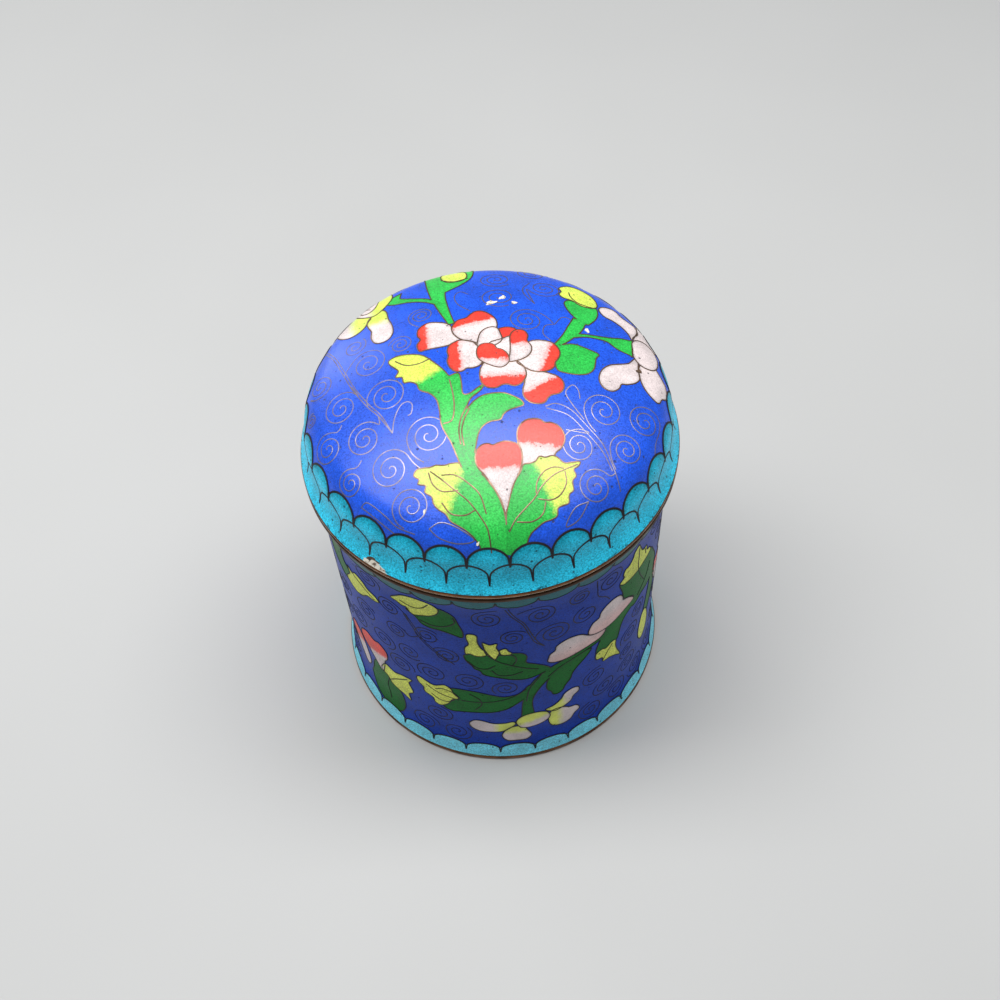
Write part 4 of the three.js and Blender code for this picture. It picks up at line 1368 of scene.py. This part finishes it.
class ENAMELBOX_OT_scallops(bpy.types.Operator):
    """Makes the turquoise scalloped fields of the lid and the body with their wires"""

    bl_idname = "enamel_box.scallops"
    bl_label = "Scallops"

    def execute(self, context):
        """Two staggered rows on the lid, one under the mouth and one above the foot."""
        sizes, tints = settings()
        # Painted shade: the scallops go from teal at the arch to turquoise lower down
        turquoise = enamel(
            "turquoise enamel", tuple(tints.teal), tuple(tints.turquoise), softness=2.2, wobble=0.5, rim=0.0,
            mottle=0.42, pits=0.4, shine=0.1, grime=0.7,
        )
        pale, deep = tuple(tints.foot_turquoise), tuple(tints.shaded_teal)
        # Painted light: the field above the foot is a lighter lit copy of the turquoise
        foot = enamel("foot turquoise enamel", pale, pale, rim=0.0, shine=0.4)
        # Painted shadow of the lid over the field under the mouth
        shaded = enamel("shaded teal enamel", deep, deep, rim=0.0, shine=0.1)
        # The scallop wires are painted dark, partly tarnish and partly painted shade
        dark = metal("dark wire", tuple(tints.dark_wire), DARK_WIRE_SHADE, 0.5, metallic=0.0)
        lid, lid_wires = MeshParts(), MeshParts()
        for number, row in enumerate(LID_ROWS):
            lift = BAND_LIFT + LAYER_LIFT * number
            outer = LID_REACH + UPPER_SHORT * (number - 1)
            scallop_band(lid, onto_lid, lid_place, row, outer, lift, SHADE_STEP * number + SHADE_START)
            for path in scallop_wires(row, lid_place, LID_POINT):
                line = resample(path, SCALLOP_STEP)
                lid_wires.wire(line, False, onto_lid, sizes.scallop_width, SCALLOP_RISE)
        add_piece(lid, "lid_scallops", turquoise)
        add_piece(lid_wires, "lid_scallop_wires", dark)
        body_wires = MeshParts()
        for name, row, outer, glass in (
            ("mouth_scallops", BODY_TOP_ROW, BODY_HIGH[2], shaded),
            ("foot_scallops", BODY_FOOT_ROW, BODY_LOW[2], foot),
        ):
            field = MeshParts()
            scallop_band(field, onto_body, body_place, row, outer, BAND_LIFT)
            add_piece(field, name, glass)
            for path in scallop_wires(row, body_place, BODY_POINT):
                line = resample(path, SCALLOP_STEP)
                body_wires.wire(line, False, onto_body, sizes.scallop_width * BODY_SCALLOP_WIRE, SCALLOP_RISE)
        add_piece(body_wires, "body_scallop_wires", dark)
        return {"FINISHED"}


def add_cells(name, cells, conform, material):
    """One piece that holds all cells of one enamel."""
    parts = MeshParts()
    for cell in cells:
        parts.cell(cell, conform)
    add_piece(parts, name, material)


def hex_spots(x_range, y_range, spacing):
    """Spots of a staggered grid."""
    rows = np.arange(y_range[0], y_range[1], spacing * ROW_PITCH)
    return [
        (x + (spacing / 2 if i % 2 else 0), y)
        for i, y in enumerate(rows)
        for x in np.arange(x_range[0], x_range[1], spacing)
    ]


class ENAMELBOX_OT_lid_picture(bpy.types.Operator):
    """Inlays the flowers, leaves, scrolls and wires of the lid"""

    bl_idname = "enamel_box.lid_picture"
    bl_label = "Lid picture"

    def execute(self, context):
        """Cells by enamel, then the wires along their edges, the veins and the scrolls."""
        sizes, tints = settings()
        petals, buds, leaves, blossoms = peony(), lid_buds(), lid_leaves(), lid_blossoms()
        white, blush, red = tuple(tints.white), tuple(tints.blush), tuple(tints.coral)
        coral = enamel("coral and white enamel", white, red, blush, softness=0.3, mottle=0.22)
        pale = enamel("lemon and white enamel", tuple(tints.lemon), white, softness=1.6, pits=0.14, mottle=0.18)
        green = leaf_enamel("leaf enamel", tints.green, tints.lemon)
        add_cells("lid_peony", petals, onto_lid, coral)
        add_cells("lid_buds", buds, onto_lid, coral)
        add_cells("lid_leaves", leaves, onto_lid, green)
        add_cells("lid_blossoms", blossoms, onto_lid, pale)
        cells = petals + buds + leaves + blossoms

        def past_scallops(points):
            """True where a point lies under or close by the scallops of the lid."""
            s = np.hypot(points[:, 0], points[:, 1])
            turns = (-math.pi / 2 - np.arctan2(points[:, 1], points[:, 0])) / (2 * math.pi)
            edges = [arch(turns, SCALLOPS, *row) for row in LID_ROWS]
            return s > np.minimum(*edges) + CLEARANCE

        scrolls = [spiral(*row[:5], tail=row[5]) for row in LID_SCROLLS]
        spots = hex_spots((-45, 46), (-44, 45), 1.7)
        spots = [(x, y) for x, y in spots if math.hypot(x, y) < SCROLL_REACH]
        spots = [(x, y) for x, y in spots if y > 8 or abs(x) > 24 or y < -33]
        lines = [smooth(points, LID_STRETCH * len(points)) for points in LID_LINES]
        scrolls += fill_scrolls(spots, [row[:3] for row in LID_SCROLLS], cells, lines)
        gold = metal("gold wire", tuple(tints.wire), (0.12, 0.07, 0.045), 0.42, 0.8)
        pale_wire = metal("pale wire", tuple(tints.pale_wire), (0.16, 0.13, 0.16), 0.42, 0.7)
        wires, curls = MeshParts(), MeshParts()
        draw_edges(wires, cells, past_scallops, onto_lid, sizes.wire_width, sizes.wire_rise)
        for vein in LID_VEINS:
            line = resample(smooth(vein, LID_STRETCH * len(vein)))
            wires.wire(line, False, onto_lid, sizes.wire_width, sizes.wire_rise)
        add_piece(wires, "lid_wires", gold)
        draw_free(curls, scrolls + lines, cells, past_scallops, onto_lid, sizes.wire_width * 0.85, SCROLL_RISE)
        add_piece(curls, "lid_scrolls", pale_wire)
        return {"FINISHED"}


class ENAMELBOX_OT_losses(bpy.types.Operator):
    """Adds the chip at the lid's edge and the small losses"""

    bl_idname = "enamel_box.losses"
    bl_label = "Losses"

    def execute(self, context):
        """Ragged pale flakes, the dark crack over the large one at the edge, and a brown stain."""
        _, tints = settings()
        dark, pale = MeshParts(), MeshParts()
        for row in LID_STAINS:
            dark.cell(flake(*row), onto_lid, FLAKE_LIFT)
        for row in LID_FLAKES:
            pale.cell(flake(*row), onto_lid, FLAKE_LIFT + 0.01)
        add_piece(dark, "lid_chip_edge", chipped("chip edge", tints.stain, (0.02, 0.015, 0.012)))
        add_piece(pale, "lid_chips", chipped("bare ground", tints.bare, tints.stain))
        return {"FINISHED"}


class ENAMELBOX_OT_body_picture(bpy.types.Operator):
    """Inlays the sprays, scrolls and wires of the body"""

    bl_idname = "enamel_box.body_picture"
    bl_label = "Body picture"

    def execute(self, context):
        """The spray at the front and its mirror image at the back, then wires, veins and scrolls."""
        sizes, tints = settings()
        leaves, petals = both_sides(body_leaves()), both_sides(body_petals())
        buds, blossoms = both_sides(body_buds()), both_sides(body_blossoms())
        white, lemon = tuple(tints.white), tuple(tints.body_lemon)
        blush, red = tuple(tints.blush), tuple(tints.coral)
        coral = enamel("body coral enamel", white, red, blush, softness=0.6, pits=0.05, shine=0.15)
        pale = enamel("body blossom enamel", lemon, white, softness=1.4, pits=0.05, mottle=0.1, shine=0.15)
        pink = enamel("pink enamel", white, tuple(tints.pink), softness=4.0, pits=0.1, mottle=0.14, shine=0.15)
        # The body's leaves take the darker green as painted shade
        green = leaf_enamel("body leaf enamel", tints.body_green, tints.body_lemon, 0.05)
        add_cells("body_leaves", leaves, onto_body, green)
        add_cells("body_petals", petals, onto_body, pink)
        add_cells("body_buds", buds, onto_body, coral)
        add_cells("body_blossoms", blossoms, onto_body, pale)
        cells = leaves + petals + buds + blossoms

        def past_scallops(points):
            """True where a point lies under or close by the scallops of the mouth or the foot."""
            turns = points[:, 0] / (2 * math.pi * WALL_RADIUS)
            top = arch(turns, SCALLOPS, *BODY_TOP_ROW)
            foot = arch(turns, SCALLOPS, *BODY_FOOT_ROW)
            return (points[:, 1] > top - CLEARANCE) | (points[:, 1] < foot + CLEARANCE)

        flip, step = np.array([-1.0, 1.0]), np.array([SPRAY_SPACING, 0.0])
        scrolls = [spiral(*row[:5], tail=row[5]) for row in BODY_SCROLLS]
        scrolls += [path * flip + step for path in scrolls]
        taken = [row[:3] for row in BODY_SCROLLS]
        taken += [(SPRAY_SPACING - x, y, r) for x, y, r in taken]
        lines = both_sides_lines(BODY_LINES)
        scrolls += fill_scrolls(hex_spots((-66, 204), (11, 79), 1.9), taken, cells, lines, 2 * SPRAY_SPACING)
        # The body's wires are painted dark, partly tarnish and partly painted shade
        dark = metal("body wire", tuple(tints.dark_wire), DARK_WIRE_SHADE, 0.5, metallic=0.0)
        wires, curls = MeshParts(), MeshParts()
        draw_edges(wires, cells, past_scallops, onto_body, sizes.wire_width, sizes.wire_rise)
        for vein in both_sides_lines(BODY_VEINS):
            wires.wire(resample(vein), False, onto_body, sizes.wire_width, sizes.wire_rise)
        add_piece(wires, "body_wires", dark)
        draw_free(curls, scrolls + lines, cells, past_scallops, onto_body, sizes.wire_width * 0.9, SCROLL_RISE)
        add_piece(curls, "body_scrolls", dark)
        return {"FINISHED"}


# Stage: millimetres and degrees for the camera, metres for the floor and the lights

CAMERA_DISTANCE = 287.3
CAMERA_TARGET_HEIGHT = 86.5
CAMERA_ELEVATION = 51.88
CAMERA_YAW = -0.28
CAMERA_PITCH = -2.99
CAMERA_ROLL = 4.12
CAMERA_FOCAL = 1.2
SENSOR = 36.0
FLOOR_HALF = 2.5
LIGHT_AIM = (0.0, 0.0, 0.06)


def place_camera():
    """The camera looks at the mouth from the front and above, turned a little off it and rolled."""
    elevation = math.radians(CAMERA_ELEVATION)
    position = np.array([0.0, -math.cos(elevation), math.sin(elevation)]) * CAMERA_DISTANCE
    position[2] += CAMERA_TARGET_HEIGHT
    looking = Matrix.Rotation(math.pi / 2 - elevation, 4, "X")
    turn = Matrix.Rotation(math.radians(CAMERA_YAW), 4, "Y")
    pitch = Matrix.Rotation(math.radians(CAMERA_PITCH), 4, "X")
    roll = Matrix.Rotation(-math.radians(CAMERA_ROLL), 4, "Z")
    data = bpy.data.cameras.new("camera")
    data.sensor_width = SENSOR
    data.lens = SENSOR * CAMERA_FOCAL
    data.clip_start = 0.01
    camera = bpy.data.objects.new("camera", data)
    camera.matrix_world = Matrix.Translation(position * MM) @ looking @ turn @ pitch @ roll
    bpy.context.scene.collection.objects.link(camera)
    bpy.context.scene.camera = camera


def add_light(name, size, position, energy):
    """A rectangular soft light aimed at the box."""
    data = bpy.data.lights.new(name, "AREA")
    data.shape = "RECTANGLE"
    data.size, data.size_y = size
    data.energy = energy
    lamp = bpy.data.objects.new(name, data)
    position = np.array(position, float)
    forward = unit(np.array(LIGHT_AIM) - position)
    side = unit(np.cross(forward, [0.0, 1.0, 0.0]))
    up = np.cross(side, forward)
    axes = Matrix([[side[i], up[i], -forward[i]] for i in range(3)]).to_4x4()
    lamp.matrix_world = Matrix.Translation(position) @ axes
    bpy.context.scene.collection.objects.link(lamp)


class ENAMELBOX_OT_stage(bpy.types.Operator):
    """Adds the floor, the lights and the camera"""

    bl_idname = "enamel_box.stage"
    bl_label = "Stage"

    def execute(self, context):
        """A plain pale floor, a long soft light overhead, a weak one behind at the left, and the camera."""
        half = FLOOR_HALF
        mesh = bpy.data.meshes.new("floor")
        corners = [(-half, -half, 0), (half, -half, 0), (half, half, 0), (-half, half, 0)]
        mesh.from_pydata(corners, [], [(0, 1, 2, 3)])
        floor = bpy.data.objects.new("floor", mesh)
        bpy.context.scene.collection.objects.link(floor)
        material, tree, shader = new_material("floor")
        coordinates = tree.nodes.new("ShaderNodeTexCoord").outputs["Object"]
        shade = range_node(tree, noise(tree, coordinates, 0.3, 3.0), 0.2, 0.8)
        tree.links.new(mix_colours(tree, shade, (0.5, 0.5, 0.49), (0.54, 0.54, 0.53)), shader.inputs["Base Color"])
        shader.inputs["Roughness"].default_value = 0.8
        shader.inputs["Specular IOR Level"].default_value = 0.1
        mesh.materials.append(material)
        world = bpy.data.worlds.new("studio")
        world.use_nodes = True
        sky = world.node_tree.nodes["Background"]
        sky.inputs["Color"].default_value = (0.78, 0.82, 0.88, 1)
        sky.inputs["Strength"].default_value = 0.3
        bpy.context.scene.world = world
        bpy.context.scene.view_settings.view_transform = "Standard"
        add_light("overhead", (1.1, 0.28), (-0.05, 0.05, 0.75), 8.2)
        add_light("back left", (0.5, 0.3), (-0.55, 0.75, 0.3), 1.6)
        place_camera()
        return {"FINISHED"}


class ENAMELBOX_PT_panel(bpy.types.Panel):
    """Lists the steps in the sidebar"""

    bl_idname = "ENAMELBOX_PT_panel"
    bl_label = "Enamel Box"
    bl_space_type = "VIEW_3D"
    bl_region_type = "UI"
    bl_category = "Enamel Box"

    def draw(self, context):
        """One button for each step, then the settings."""
        for step in STEPS:
            self.layout.operator(step.bl_idname)
        for group in (context.scene.enamel_box_sizes, context.scene.enamel_box_colours):
            for name in group.__annotations__:
                self.layout.prop(group, name)


STEPS = (
    ENAMELBOX_OT_body_shell,
    ENAMELBOX_OT_lid_shell,
    ENAMELBOX_OT_rims,
    ENAMELBOX_OT_scallops,
    ENAMELBOX_OT_lid_picture,
    ENAMELBOX_OT_body_picture,
    ENAMELBOX_OT_losses,
    ENAMELBOX_OT_stage,
)
CLASSES = (EnamelBoxSizes, EnamelBoxColours, *STEPS, ENAMELBOX_PT_panel)


def register():
    """Registers the classes and the settings."""
    for item in CLASSES:
        bpy.utils.register_class(item)
    bpy.types.Scene.enamel_box_sizes = PointerProperty(type=EnamelBoxSizes)
    bpy.types.Scene.enamel_box_colours = PointerProperty(type=EnamelBoxColours)


def unregister():
    """Takes the classes and the settings away again."""
    del bpy.types.Scene.enamel_box_colours
    del bpy.types.Scene.enamel_box_sizes
    for item in reversed(CLASSES):
        bpy.utils.unregister_class(item)


def main():
    """Builds the whole scene."""
    register()
    bpy.ops.enamel_box.body_shell()
    bpy.ops.enamel_box.lid_shell()
    bpy.ops.enamel_box.rims()
    bpy.ops.enamel_box.scallops()
    bpy.ops.enamel_box.lid_picture()
    bpy.ops.enamel_box.body_picture()
    bpy.ops.enamel_box.losses()
    bpy.ops.enamel_box.stage()


if __name__ == "__main__":
    main()
